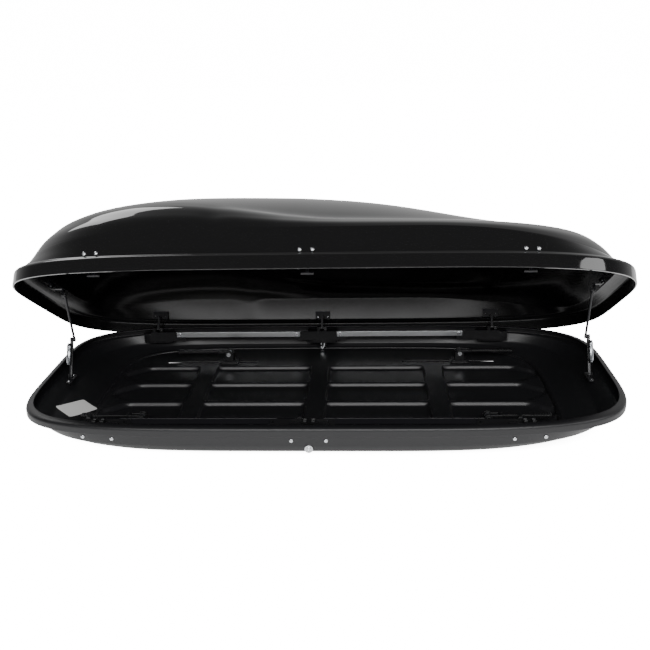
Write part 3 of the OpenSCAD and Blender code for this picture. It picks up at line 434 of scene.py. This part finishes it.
def ridge_at(x):
    """Height of the ridge at the edge of the deck: low at the nose, high at the tail, a smooth step between."""
    nose, tail = 0.524 * LID_H, 0.7 * LID_H
    step = (tail - nose) * smooth((RIDGE_X - x) / 0.53)
    return nose + step - 0.024 * np.maximum(0, x - RIDGE_X) - 0.264 * np.minimum(0, x + 0.45) ** 2


def crown_at(x):
    """Height of the deck's middle line: highest a little behind the middle, falling faster to the nose."""
    return LID_H - np.where(x < -0.1, 0.083 * (x + 0.1) ** 2, 0.227 * np.maximum(0, x + 0.1) ** 1.8)


# Inset at the sides, tail and nose (mm), height (mm), share up, share of the ring left. The first three
# rows round the sheet's edge.
LID_ROWS = [
    (0.8, 0.8, 0.8, 0, 0, 1), (0, 0, 0, 0.8, 0, 1), (0.1, 0.1, 0.1, 2.4, 0, 1), (1, 1, 1, 38, 0, 1),
    (4, 4, 4, 44, 0, 1), (13, 16, 17, 50, 0, 1), (20, 37, 28, 50, 0.5, 1),
    (27, 48, 44, 50, 1, 1), (38, 69, 72, 50, 1.35, 1), (66, 111, 115, 50, 1.75, 1), (100, 163, 175, 50, 2, 1),
]
LID_DECK = [(100, 163, 175, 50, 2, q) for q in (0.86, 0.7, 0.5, 0.27, 0.0)]
LID_REACH = [0, 0.3, 0.3, 2, 2.5, 2.5, 8, 2.5, 14, 16, 20, 20, 30, 40, 40, 0]
# The two shares count as lengths of this many metres where a row's length is measured
SHARE_UNIT = [0.05, 0.4]
UNIT = np.array([MM, MM, MM, MM] + SHARE_UNIT)
lid_rows = rounded(np.array(LID_ROWS + LID_DECK) * UNIT, np.array(LID_REACH) * MM * 1.6, 6)
lid_rows = lid_rows / UNIT * [MM, MM, MM, MM, 1, 1]


def dense(rows, most):
    """The same polyline with extra points, so that no step is longer than most."""
    out = [rows[0]]
    for a, b in zip(rows[:-1], rows[1:]):
        length = np.linalg.norm((b - a) * ([1, 1, 1, 1] + SHARE_UNIT))
        for u in np.linspace(0, 1, max(1, math.ceil(length / most)) + 1)[1:]:
            out.append(a + (b - a) * u)
    return np.array(out)


lid_rows = dense(lid_rows, 12 * MM)


def lid_ring(row, t):
    """One ring of the closed lid, offset inwards by t."""
    tail, nose, half = LID_L / 2 - row[1] - t, LID_L / 2 - row[2] - t, LID_W / 2 - row[0] - t
    xy = outline(tail, nose, half) * row[5]
    x, share = xy[:, 0], row[4]
    crease, ridge = crease_at(x), ridge_at(x)
    z = row[3] + min(share, 1) * (crease - SHOULDER) + max(share - 1, 0) * (ridge - crease - t)
    z = z + (np.maximum(ridge, crown_at(x)) - ridge) * (1 - row[5] ** 2.2)
    return np.column_stack([xy, LID_Z + z])


def opened(points):
    """Turns points of the closed lid about the hinge line to where the lifters hold it."""
    c, s = math.cos(OPEN), math.sin(OPEN)
    y, z = points[..., 1] - HINGE_Y, points[..., 2] - HINGE_Z
    return np.stack([points[..., 0], HINGE_Y + c * y + s * z, HINGE_Z - s * y + c * z], -1)


outer = [lid_ring(r, 0) for r in lid_rows[::-1]]
inner = [lid_ring(r, SHEET) for r in lid_rows]
for ring in (outer[0], inner[-1]):
    ring[:] = ring.mean(0)
lid_grid = opened(np.array(outer + inner))
# Faces of the inside take the finish with painted shade
faces_inside = (np.arange(len(lid_grid)) >= len(outer)).astype(int)
lid = surface("lid_skin", lid_grid, [gloss_black, lid_inside_painted_shade], flip=True, slots=faces_inside)
ride(lid, "lid", "lid_gloss_plastic", "lid_shell")
print("lid faces:", len(lid.data.polygons))

# %% [markdown]
# ## Fittings
# The moulded and forged pieces are built from three kinds of surface: a turned profile, a plan swept
# between two planes with bevelled edges, and a bar whose section changes along its length.
# Each is placed in the frame by the same turns and mirrors as the plain piece that it stands for.

# %% Parts of a fitting
class Shape:
    """Collects several closed surfaces into one mesh."""

    def __init__(self):
        self.points, self.quads, self.count = [], [], 0

    def grid(self, grid, place=lambda p: p):
        """Adds a closed surface: rows of points that wrap round; the first and last row shrink to a point."""
        grid = np.asarray(grid, float)
        grid = np.concatenate([np.repeat(grid[:1].mean(1, keepdims=True), grid.shape[1], 1), grid,
                               np.repeat(grid[-1:].mean(1, keepdims=True), grid.shape[1], 1)])
        m, n = grid.shape[:2]
        index = np.arange(m * n).reshape(m, n)
        index[0, :], index[-1, :] = index[0, 0], index[-1, 0]
        r, c = np.meshgrid(np.arange(m - 1), np.arange(n), indexing="ij")
        c2 = (c + 1) % n
        quads = np.stack([index[r, c], index[r, c2], index[r + 1, c2], index[r + 1, c]], -1)
        self.points.append(place(grid.reshape(-1, 3)))
        self.quads.append(quads.reshape(-1, 4) + self.count)
        self.count += m * n

    def build(self, name, material):
        """One mesh of all the surfaces, its faces turned outwards."""
        points, quads = np.concatenate(self.points), np.concatenate(self.quads)
        used, index = np.unique(quads, return_inverse=True)
        obj = mesh(name, points[used], index.reshape(-1, 4), material)
        work = bmesh.new()
        work.from_mesh(obj.data)
        bmesh.ops.recalc_face_normals(work, faces=work.faces[:])
        work.to_mesh(obj.data)
        work.free()
        return obj


def turned(profile, count=40):
    """A profile of (distance along X, radius) turned about the X axis, from the lower end to the upper."""
    a = np.linspace(0, 2 * np.pi, count, endpoint=False)
    return [np.column_stack([np.full(count, d), r * np.cos(a), r * np.sin(a)]) for d, r in profile]


def disc(x0, x1, r, edge):
    """Profile of a disc with rounded rims, to be turned."""
    a = np.linspace(0, np.pi / 2, 5)
    low = [(x0 + edge * (1 - math.cos(t)), r - edge * (1 - math.sin(t))) for t in a]
    return low + [(x1 - (d - x0), q) for d, q in low[::-1]]


def round_plan(corners, radius, steps=5):
    """A closed plan with every corner replaced by a parabola arc of that reach."""
    c = np.asarray(corners, float)
    out = []
    for k in range(len(c)):
        p, a, b = c[k], c[k - 1] - c[k], c[(k + 1) % len(c)] - c[k]
        reach = min(radius, 0.45 * np.linalg.norm(a), 0.45 * np.linalg.norm(b))
        s, e = p + a / np.linalg.norm(a) * reach, p + b / np.linalg.norm(b) * reach
        out += [(1 - u) ** 2 * s + 2 * u * (1 - u) * p + u * u * e for u in np.linspace(0, 1, steps)]
    return np.array(out)


def swept(plan, low, high, bevel, steps=4):
    """A counter-clockwise plan raised along Z between two planes, its edges rounded by bevel: each ring is
    the plan moved inwards along its own normals."""
    tangent = np.roll(plan, -1, 0) - np.roll(plan, 1, 0)
    normal = np.stack([tangent[:, 1], -tangent[:, 0]], 1) / np.linalg.norm(tangent, axis=1, keepdims=True)
    rings = []
    a = np.linspace(0, np.pi / 2, steps)
    profile = [(low + bevel * (1 - math.cos(t)), bevel * (1 - math.sin(t))) for t in a]
    profile += [(high - (z - low), inset) for z, inset in profile[::-1]]
    for z, inset in profile:
        rings.append(np.column_stack([plan - normal * inset, np.full(len(plan), z)]))
    return rings


def bar(stations, power=5.0, count=32):
    """A bar along X with the section of a squarish superellipse: a station gives x, the middle of z, the
    half width and the half thickness."""
    t = np.linspace(0, 2 * np.pi, count, endpoint=False)
    c, s = np.cos(t), np.sin(t)
    u = np.sign(c) * np.abs(c) ** (2 / power)
    v = np.sign(s) * np.abs(s) ** (2 / power)
    return [np.column_stack([np.full(count, x), w * u, z + h * v]) for x, z, w, h in stations]


def axes(x=(1, 0, 0), y=(0, 1, 0), z=(0, 0, 1), at=(0, 0, 0)):
    """A placement: where the piece's own X, Y and Z axes point and where its origin goes (mm)."""
    m, o = np.array([x, y, z], float), np.array(at, float)
    return lambda p: (p @ m + o) * MM


def box_plan(x0, x1, y0, y1, radius):
    """A rectangle with rounded corners, as a plan."""
    return round_plan([(x0, y0), (x1, y0), (x1, y1), (x0, y1)], radius)


def sided(place, side):
    """The same placement on the far side (1) or turned over to the near side (-1)."""
    return lambda p: place(p) * [1, side, 1]


def inside_half(x, z):
    """Half width of the tray's inside at a place along the box and a height."""
    rows = np.array(IN[4:])[::-1] * MM
    inset = [np.interp(z, rows[:, 3], rows[:, k]) for k in range(3)]
    return float(half_at(np.array(x), TRAY_L / 2 - inset[1], TRAY_L / 2 - inset[2], TRAY_W / 2 - inset[0]))


HY, HZ = HINGE_Y / MM, HINGE_Z / MM
LATCH_X = (-650.0, -30.0, 600.0)
RIVET_Z = 57.0
SIDES = {"far": 1, "near": -1}
LATCH = ("tail", "mid", "nose")
HOUSING_HALF, GROOVE_HALF = 56, 7
# Radius of the seat that the ears leave for the striker's pin
SEAT_R = 4.15


# %% Latch housings
def housing(side_name, k):
    """A tapered block behind the slide, slotted for the striker's leg, with two ears that carry its pin.
    The block is built of two halves and a lower middle, each ear of two halves that meet under the pin."""
    side = SIDES[side_name]
    low = 47.0 if k == 1 else RIVET_Z - 6
    front, top = HY - 14, RIM / MM - 11
    back = [inside_half((LATCH_X[k] + d) * MM, low * MM) / MM - 2.5 for d in (-HOUSING_HALF, 0, HOUSING_HALF)]
    back[1] = min(back[1], HY + 21)
    shape = Shape()
    at = sided(axes(at=(LATCH_X[k], 0, 0)), side)
    for end, y in ((-1, back[0]), (1, back[2])):
        plan = [(end * HOUSING_HALF, min(front + 5, y - 8)), (end * 32, front), (end * GROOVE_HALF, front),
                (end * GROOVE_HALF, back[1] + (y - back[1]) / 8), (end * HOUSING_HALF, y)]
        shape.grid(swept(round_plan(plan[::-end], 4), low, top, 2.5), at)
    shape.grid(swept(box_plan(-10, 10, front + 0.5, back[1] - 1, 1.0), low + 0.3, top - 12, 0.8), at)
    for x in (-12, 12):
        up = sided(axes((0, 1, 0), (0, 0, 1), (1, 0, 0), (LATCH_X[k] + x, HY, HZ)), side)
        arc = [(SEAT_R * math.cos(a), -SEAT_R * math.sin(a)) for a in np.linspace(0, 1.75, 9)]
        ear = np.array([(-0.8, top - 2 - HZ), (9, top - 2 - HZ), (9, -1.2), (7.8, 0)] + arc)
        shape.grid(swept(ear, -5, 5, 0.8), up)
        shape.grid(swept((ear * [-1, 1])[::-1], -5, 5, 0.8), up)
    for x in (-36, -26, 26, 36):
        shape.grid(swept(box_plan(x - 1.5, x + 1.5, front + 9, min(back) - 4, 1.2), top - 2, top + 2.6, 0.8), at)
    obj = shape.build("latch_housing_%s_%s" % (side_name, LATCH[k]), nylon_black)
    ride(obj, "tray", "fitting_plastic", "housing_%s_%s" % (side_name, LATCH[k]))


for side_name in SIDES:
    for k in range(len(LATCH)):
        housing(side_name, k)

# %% Clamps: body, lever
CLAMP_AT = {("far", "tail"): -365, ("far", "nose"): 470, ("near", "tail"): -556, ("near", "nose"): 500}
PIVOT = FLOOR / MM + 36
# The lever lies along X from its tip to its end near the pivot; its cam's pin is off the pivot
LEVER_TIP, GRIP_END, LEVER_END, RIB_PITCH = -190, -136, -30, 8
LEVER_RISE, HUB_R, CAM_OFF = 6.5, 12, 3
CAM_TURN = math.radians(50)


def clamp(side_name, end_name):
    """Clamp body: plate, two cheeks round the pivot and a hood; and the long lever with its hub and ribbed grip."""
    x0, y0 = CLAMP_AT[side_name, end_name], SIDES[side_name] * SLOT_Y / MM
    turn = [-1 if end_name == "nose" else 1, 1, 1]

    def at(x=(1, 0, 0), y=(0, 1, 0), z=(0, 0, 1), o=(0, 0, 0)):
        m = np.array([x, y, z], float)
        return lambda p: ((p @ m + o) * turn + [x0, y0, 0]) * MM

    base = FLOOR / MM + 0.3
    body = Shape()
    body.grid(swept(box_plan(-34, 34, -25, 25, 9), base, base + 5, 1.6), at())
    cheek = [(-15, base + 3), (15, base + 3), (14, PIVOT), (9, PIVOT + 11), (0, PIVOT + 14), (-9, PIVOT + 11),
             (-14, PIVOT)]
    for y in (-14.75, 14.75):
        upright = at((1, 0, 0), (0, 0, 1), (0, -1, 0), (0, y, 0))
        body.grid(swept(round_plan(cheek, 6), -2.25, 2.25, 1.0), upright)
    body.grid(swept(box_plan(12.8, 16.8, -17, 17, 1.8), base, base + 40, 1.5), at())
    for y in (-20, 20):
        body.grid(swept(box_plan(-26, 26, y - 1.5, y + 1.5, 1.2), base + 3, base + 9, 1.0), at())
    where = "%s_%s" % (side_name, end_name)
    ride(body.build("clamp_base_" + where, nylon_black), "tray", "fitting_plastic", "clamp_body_" + where)

    lever = Shape()
    stations = []
    for x in [*np.linspace(LEVER_TIP, GRIP_END, 60), *np.linspace(GRIP_END + 2, LEVER_END, 14)]:
        tip = np.clip((x - LEVER_TIP) / 5, 0.02, 1) ** 0.5
        rib = abs(math.sin((x - LEVER_TIP) * math.pi / RIB_PITCH)) if x < GRIP_END else 0.0
        waist = 8.2 + 1.8 * smooth((-90 - x) / 50) + 0.9 * smooth((x + 70) / 35)
        stations.append((x, PIVOT + LEVER_RISE, (waist + rib) * tip, (4.3 + rib * 0.9) * tip))
    lever.grid(bar(stations), at())
    for y in (-1, 1):
        lever.grid(turned(disc(5, 12.1, HUB_R, 1.2)), at((0, y, 0), (1, 0, 0), (0, 0, 1), (0, 0, PIVOT)))
        fork = [(x, PIVOT + LEVER_RISE, 3.5, 4.5) for x in np.linspace(-44, -4, 6)]
        lever.grid(bar(fork), at(o=(0, y * 8.5, 0)))
    cam_at = (CAM_OFF * math.cos(CAM_TURN), 0, PIVOT + CAM_OFF * math.sin(CAM_TURN))
    lever.grid(turned(disc(-6, 6, 4, 0.3)), at((0, 1, 0), (1, 0, 0), (0, 0, 1), cam_at))
    obj = lever.build("clamp_handle_" + where, nylon_black)
    ride(obj, "lever_" + where, "fitting_plastic", "clamp_lever_" + where)


for key in CLAMP_AT:
    clamp(*key)
print("clamps:", len(CLAMP_AT))

# %% [markdown]
# ## Lifters
# A lifter lies in one upright plane: a foot on the slope of the tray's end, an arm with a spring tube
# beside it, a link, and a bracket on the lid. The knee is where the arm's and the link's circles meet.

# %% Lifters
LIFT_X = TRAY_L / MM / 2 - 64
FOOT_Y, BRACKET_Y, ARM, LINK = 10.0, -50.0, 125.0, 172.0
EYE, PIN_R = 7.5, 3.5
TUBE_X, TUBE_Y = -3.0, -15.0
# The foot lies just above the slope of the tray's end, read between two of its corners
FOOT_LOW = float(np.interp(52, [31.5, 80], [72, 41.5])) + 0.3
FOOT_Z = FOOT_LOW + 11.5
PIN_Z = LID_Z / MM + 33
reach_y, reach_z = BRACKET_Y - HY, PIN_Z - HZ
TOP_Y = HY + reach_y * math.cos(OPEN) + reach_z * math.sin(OPEN)
TOP_Z = HZ - reach_y * math.sin(OPEN) + reach_z * math.cos(OPEN)
span = math.hypot(TOP_Y - FOOT_Y, TOP_Z - FOOT_Z)
along = (ARM ** 2 - LINK ** 2 + span ** 2) / (2 * span)
aside = math.sqrt(ARM ** 2 - along ** 2)
KNEE_Y = FOOT_Y + (along * (TOP_Y - FOOT_Y) + aside * (TOP_Z - FOOT_Z)) / span
KNEE_Z = FOOT_Z + (along * (TOP_Z - FOOT_Z) - aside * (TOP_Y - FOOT_Y)) / span


def at_lifter(end, x=(1, 0, 0), y=(0, 1, 0), z=(0, 0, 1), o=(0, 0, 0)):
    """Placement in the lifter's plane at one end; its own X points to the middle of the box."""
    m, o = np.array([x, y, z], float), np.array(o, float)
    return lambda p: ((p @ m + o) * [-end, 1, 1] + [end * LIFT_X, 0, 0]) * MM


def strut(end, y0, z0, y1, z1, x=0.0, side=0.0):
    """Placement with X along the line from one pin to the next, Y across it and Z along the pins."""
    d = np.array([0, y1 - y0, z1 - z0]) / math.hypot(y1 - y0, z1 - z0)
    across = np.array([0, d[2], -d[1]])
    return at_lifter(end, d, across, (1, 0, 0), np.array([x, y0, z0]) + side * across)


def eye_stations(length, waist, thick):
    """Stations of a flat bar with a round eye at each end."""
    out = []
    xs = [*np.linspace(-EYE, EYE, 15), *np.linspace(EYE + 3, length - EYE - 3, 12),
          *np.linspace(length - EYE, length + EYE, 15)]
    for x in xs:
        off = min(abs(x), abs(x - length))
        round_half = math.sqrt(max(0.3, EYE ** 2 - off ** 2)) if off < EYE else 0.0
        flat = waist if 0 < x < length else 0.0
        out.append((x, 0, max(round_half, flat), thick))
    return out


def lifter(end_name):
    """Foot, arm, spring tube and link of one end, each with the pin it carries."""
    end = 1 if end_name == "nose" else -1

    def pin(r, x0, x1, y, z, edge=0.8):
        return turned(disc(x0, x1, r, edge)), at_lifter(end, o=(0, y, z))

    foot = Shape()
    plate = box_plan(-10, 10, FOOT_Y - 34, FOOT_Y + 34, 8)
    foot.grid(swept(plate, FOOT_LOW, FOOT_LOW + 3, 1.0), at_lifter(end))
    ear = [(FOOT_Y - 7.4, FOOT_LOW + 1), (FOOT_Y + 7.4, FOOT_LOW + 1), (FOOT_Y + 7, FOOT_Z + 5),
           (FOOT_Y, FOOT_Z + 9), (FOOT_Y - 7, FOOT_Z + 5)]
    foot.grid(swept(round_plan(ear, 6), -8.5, -5.5, 0.7), at_lifter(end, (0, 1, 0), (0, 0, 1), (1, 0, 0)))
    foot.grid(*pin(PIN_R, -8.4, 6.0, FOOT_Y, FOOT_Z))
    ride(foot.build("lifter_base_" + end_name, coated), "tray", "coated_steel", "lifter_foot_" + end_name)

    arm = Shape()
    arm.grid(bar(eye_stations(ARM, 5.8, 5.0), 7.0), strut(end, FOOT_Y, FOOT_Z, KNEE_Y, KNEE_Z))
    arm.grid(*pin(PIN_R, 4.4, 13.5, KNEE_Y, KNEE_Z))
    ride(arm.build("lifter_lever_" + end_name, coated), "arm_" + end_name, "coated_steel", "lifter_arm_" + end_name)

    tube = Shape()
    side_line = strut(end, FOOT_Y, FOOT_Z, KNEE_Y, KNEE_Z, TUBE_X, TUBE_Y)
    barrel = [(38, 4.5), (38.6, 5.6), (41, 6.2), (43, 6.2), (44, 7.0), (46, 8.0), (92, 8.0), (93.2, 7.5),
              (94.4, 8.0), (104, 8.0), (106, 7.0), (107, 6.2), (110, 6.2), (111.4, 5.6), (112, 4.5)]
    tube.grid(turned(barrel), side_line)
    for x in (45, 105):
        tube.grid(bar([(q, 0, 2.9, 2.9) for q in np.linspace(1, 9, 4)], 4.0), at_lug(end, x))
    obj = tube.build("gas_spring_" + end_name, tube_metal)
    ride(obj, "arm_" + end_name, "bar_aluminium", "spring_tube_" + end_name)

    link = Shape()
    link.grid(bar(eye_stations(LINK, 4.0, 3.5), 5.0), strut(end, KNEE_Y, KNEE_Z, TOP_Y, TOP_Z, 9.0))
    link.grid(*pin(5.0, 12.0, 14.5, TOP_Y, TOP_Z, 1.0))
    ride(link.build("lifter_rod_" + end_name, coated), "link_" + end_name, "coated_steel", "lifter_link_" + end_name)


def at_lug(end, x):
    """Placement of a lug that joins the spring tube to the arm at a distance x from the foot's pin."""
    d = np.array([0, KNEE_Y - FOOT_Y, KNEE_Z - FOOT_Z]) / ARM
    across = np.array([0, d[2], -d[1]])
    return at_lifter(end, across, d, (1, 0, 0), np.array([TUBE_X, FOOT_Y, FOOT_Z]) + x * d + TUBE_Y * across)


for end_name in ("tail", "nose"):
    lifter(end_name)

# %% [markdown]
# ## Rivets and label
# A rivet is a turned piece: a shank, and a shallow domed head with the small mark of its drawn pin.
# Each one is put where the frame has a plain rivet: along the normal of its flat faces, its head at
# the wide end. The label is a thin film on the slope behind the floor.

# %% Domed rivets
RIVET_PROFILE = [
    (0.05, 2.4), (0.05, 5.3), (0.3, 5.45), (0.6, 5.35), (1.2, 4.7), (1.8, 3.5), (2.2, 2.2), (2.35, 1.5), (1.7, 1.3),
    (1.6, 0.6),
]
HEAD_FROM = 4 * MM


def loose_parts(data):
    """The faces of a mesh, sorted into pieces that share corners."""
    same, parts = {}, {}
    ids = [same.setdefault(tuple(round(c, 6) for c in v.co), len(same)) for v in data.vertices]
    parent = list(range(len(same)))

    def root(i):
        while parent[i] != i:
            i = parent[i]
        return i

    for face in data.polygons:
        for v in face.vertices[1:]:
            parent[root(ids[v])] = root(ids[face.vertices[0]])
    for face in data.polygons:
        parts.setdefault(root(ids[face.vertices[0]]), []).append(face)
    return list(parts.values())


def rivets(node, name, body):
    """Domed rivets in place of a node's plain ones. A piece's axis is the direction that most of its flat
    area faces, and its head is what lies further than HEAD_FROM from that axis."""
    data, shape = NODES[node].data, Shape()
    points = np.array([v.co for v in data.vertices])
    found = loose_parts(data)
    for faces in found:
        area = {}
        for face in faces:
            key = tuple(np.round(face.normal, 2))
            area[key] = area.get(key, 0) + face.area
        axis = np.array(max(area, key=area.get))
        axis /= np.linalg.norm(axis)
        side = np.cross(axis, (0, 0, 1) if abs(axis[2]) < 0.9 else (1, 0, 0))
        side /= np.linalg.norm(side)
        up = np.cross(axis, side)
        own = points[sorted({v for face in faces for v in face.vertices})] @ np.array([axis, side, up]).T
        middle = (own.min(0) + own.max(0)) / 2
        along = own[:, 0]
        wide = along[np.hypot(own[:, 1] - middle[1], own[:, 2] - middle[2]) > HEAD_FROM]
        turn = -1 if along.max() - wide.max() > wide.min() - along.min() else 1
        along, wide = turn * along, turn * wide
        shank = (wide.min() - along.min()) / MM
        at = turn * axis * wide.min() + side * middle[1] + up * middle[2]
        profile = [(-shank, 1.6), (0.4 - shank, 2.4)] + RIVET_PROFILE
        shape.grid(turned(profile), axes(turn * axis, side, turn * up, at / MM))
    ride(shape.build(name, bright), body, "bright_steel", node)
    print(name, len(found))


rivets("tray_rivets", "tray_rivet_set", "tray")
rivets("lid_rivets", "lid_rivet_set", "lid")

# %% Label
LABEL_L, LABEL_W, LABEL_TURN = 106 * MM, 76 * MM, math.radians(54)
LABEL_AT = [0.13 - TRAY_L / 2, -0.172 * TRAY_W]
# The inside of the wall, row by row as above, filled up to 120 levels
levels = np.array([np.interp(np.linspace(0, 5, 120), range(6), col) for col in np.array(IN[4:]).T]).T * MM


def slope_height(x, y):
    """Height of the tray's inside at a place: the level whose ring passes through it."""
    a = TRAY_L / 2 - np.where(x < 0, levels[:, 1], levels[:, 2])
    n = TAIL_N if x < 0 else NOSE_N
    f = (abs(x) / a) ** n + (abs(y) / (TRAY_W / 2 - levels[:, 0])) ** n
    return float(np.interp(1.0, f, levels[:, 3]))


def label():
    """A rounded rectangle of film with a thin edge all round: rings of it under the film, then over it, each
    a share of its size at a height above the slope in millimetres."""
    a = np.linspace(0, 2 * np.pi, 144, endpoint=False)
    c, s = np.cos(a), np.sin(a)
    edge = np.stack([LABEL_L * np.sign(c) * np.abs(c) ** 0.16, LABEL_W * np.sign(s) * np.abs(s) ** 0.16], 1) / 2
    cos_t, sin_t = math.cos(LABEL_TURN), math.sin(LABEL_TURN)
    spin = np.array([[cos_t, sin_t], [-sin_t, cos_t]])
    low = [(v, 0.2) for v in (0.01, 0.4, 0.7, 0.9, 1.0)]
    high = [(v, 0.8) for v in (0.985, 0.9, 0.75, 0.6, 0.45, 0.3, 0.15, 0.01)]
    rings = []
    for share, up in low + [(1.0, 0.75)] + high:
        xy = edge * share @ spin + LABEL_AT
        rings.append(np.column_stack([xy, [slope_height(x, y) + up * MM for x, y in xy]]))
    shape = Shape()
    shape.grid(rings)
    return ride(shape.build("label_film", label_white), "tray", "label_film", "info_label")


label()

# %% [markdown]
# ## Stage
# A pale floor, a pale world and large soft lamps, as for a product on white.

# %% Floor, lamps and camera
# Strength at which the floor and the world read as pure white to the camera
WHITE = 16.0


def stage_floor():
    """A large flat floor, pale and faintly uneven. It glows for the viewer, so it reads as white, less so for what
    it lights, and not at all under the box, where the missing glow is a painted contact shadow: |x/a|^4 + |y/b|^4,
    with half the tray's length and width, fades the glow in between 0.35 and 0.75."""
    u = np.linspace(-14, 14, 24)
    X, Y = np.meshgrid(u, u, indexing="ij")
    grid = np.stack([X, Y, np.full_like(X, -1 * MM)], -1)
    s = Shader("pale studio floor")
    cloud = s.add("TexNoise", inputs={"Vector": s.add("TexCoord", out=3), "Scale": 0.7})
    rough = s.add("MapRange", inputs={"Value": cloud, "To Min": 0.75, "To Max": 0.85})
    split = s.add("SeparateXYZ", out=0, inputs={"Vector": s.add("TexCoord", out=3)}).node
    terms = []
    for k, half in ((0, TRAY_L / 2), (1, TRAY_W / 2)):
        share = s.add("Math", inputs={0: split.outputs[k], 1: half}, operation="DIVIDE")
        share = s.add("Math", inputs={0: share}, operation="ABSOLUTE")
        terms.append(s.add("Math", inputs={0: share, 1: 4.0}, operation="POWER"))
    total = s.add("Math", inputs={0: terms[0], 1: terms[1]}, operation="ADD")
    # Painted contact shadow: the glow falls to nothing under the box
    painted_shadow_mask = s.add("MapRange", inputs={"Value": total, "From Min": 0.35, "From Max": 0.75})
    seen = s.add("MapRange", inputs={"Value": s.add("LightPath", out=0), "To Min": 0.8, "To Max": WHITE})
    glow = s.add("Math", inputs={0: seen, 1: painted_shadow_mask}, operation="MULTIPLY")
    mat = s.finish(s.add("BsdfPrincipled", inputs={
        "Base Color": srgb("#fbfbfb"), "Roughness": rough,
        "Emission Color": srgb("#ffffff"), "Emission Strength": glow}))
    return surface("studio_floor", grid, mat, wrap_cols=False)


stage_floor()

world = bpy.data.worlds.new("soft white room")
bpy.context.scene.world = world
world.use_nodes = True
tree = world.node_tree
direction = tree.nodes.new("ShaderNodeTexCoord")
split = tree.nodes.new("ShaderNodeSeparateXYZ")
tree.links.new(direction.outputs["Generated"], split.inputs[0])


def world_ramp(socket, low, high, at_low, at_high):
    """A smooth step of one direction component."""
    node = tree.nodes.new("ShaderNodeMapRange")
    node.interpolation_type = "SMOOTHSTEP"
    for key, value in (("From Min", low), ("From Max", high), ("To Min", at_low), ("To Max", at_high)):
        node.inputs[key].default_value = value
    tree.links.new(socket, node.inputs["Value"])
    return node.outputs[0]


def world_math(kind, a, b):
    """Two numbers of the world put together."""
    node = tree.nodes.new("ShaderNodeMath")
    node.operation = kind
    tree.links.new(a, node.inputs[0])
    tree.links.new(b, node.inputs[1])
    return node.outputs[0]


# The room behind the box is bright near the horizon; in front of it only a dim light is left. The camera
# sees neither: for it the world is white.
to_back = world_ramp(split.outputs[1], -0.1, 0.6, 0.0, 1.0)
behind = world_math("MULTIPLY", to_back, world_ramp(split.outputs[2], 0.5, 1.05, 0.5, 0.03))
front = world_ramp(split.outputs[2], 0.0, 0.5, 0.05, 0.13)
room = world_math("ADD", behind, front)
path = tree.nodes.new("ShaderNodeLightPath")
choose = tree.nodes.new("ShaderNodeMapRange")
choose.inputs["To Max"].default_value = WHITE
tree.links.new(path.outputs["Is Camera Ray"], choose.inputs["Value"])
tree.links.new(room, choose.inputs["To Min"])
tree.nodes["Background"].inputs["Color"].default_value = (1, 1, 1, 1)
tree.links.new(choose.outputs[0], tree.nodes["Background"].inputs["Strength"])


def soft_lamp(name, place, target, size, watts):
    """A rectangular lamp at a place in metres, facing a target."""
    data = bpy.data.lights.new(name, "AREA")
    data.shape, data.size, data.size_y, data.energy = "RECTANGLE", size[0], size[1], watts
    obj = bpy.data.objects.new(name, data)
    bpy.context.scene.collection.objects.link(obj)
    obj.location = place
    obj.rotation_mode = "QUATERNION"
    obj.rotation_quaternion = (Vector(target) - Vector(place)).to_track_quat("-Z", "Y")


soft_lamp("key", (-2.4, 2.2, 3.4), (0, 0, 0.3), (2.2, 1.4), 36)
soft_lamp("front", (0.2, -3.7, 2.4), (0, 0, 0.1), (4.4, 1.2), 140)
soft_lamp("right", (3.4, -1.6, 2.0), (0.3, 0, 0.1), (1.6, 1.6), 30)

# The camera's place and turns come from fitting the box's outline to the photo
camera = bpy.data.cameras.new("camera")
camera.sensor_width, camera.lens = 36.0, 44.70
camera.clip_end = 60
cam = bpy.data.objects.new("camera", camera)
bpy.context.scene.collection.objects.link(cam)
yaw, pitch, roll = -0.0573, 0.3593, 0.0274
forward = np.array([math.sin(yaw) * math.cos(pitch), math.cos(yaw) * math.cos(pitch), -math.sin(pitch)])
right = np.array([math.cos(yaw), -math.sin(yaw), 0.0])
down = np.cross(forward, right)
r2 = math.cos(roll) * right + math.sin(roll) * down
d2 = -math.sin(roll) * right + math.cos(roll) * down
turn = Matrix([[r2[i], -d2[i], -forward[i], 0] for i in range(3)] + [[0, 0, 0, 1]])
cam.matrix_world = Matrix.Translation((0.1431, -2.4506, 1.1762)) @ turn
bpy.context.scene.camera = cam
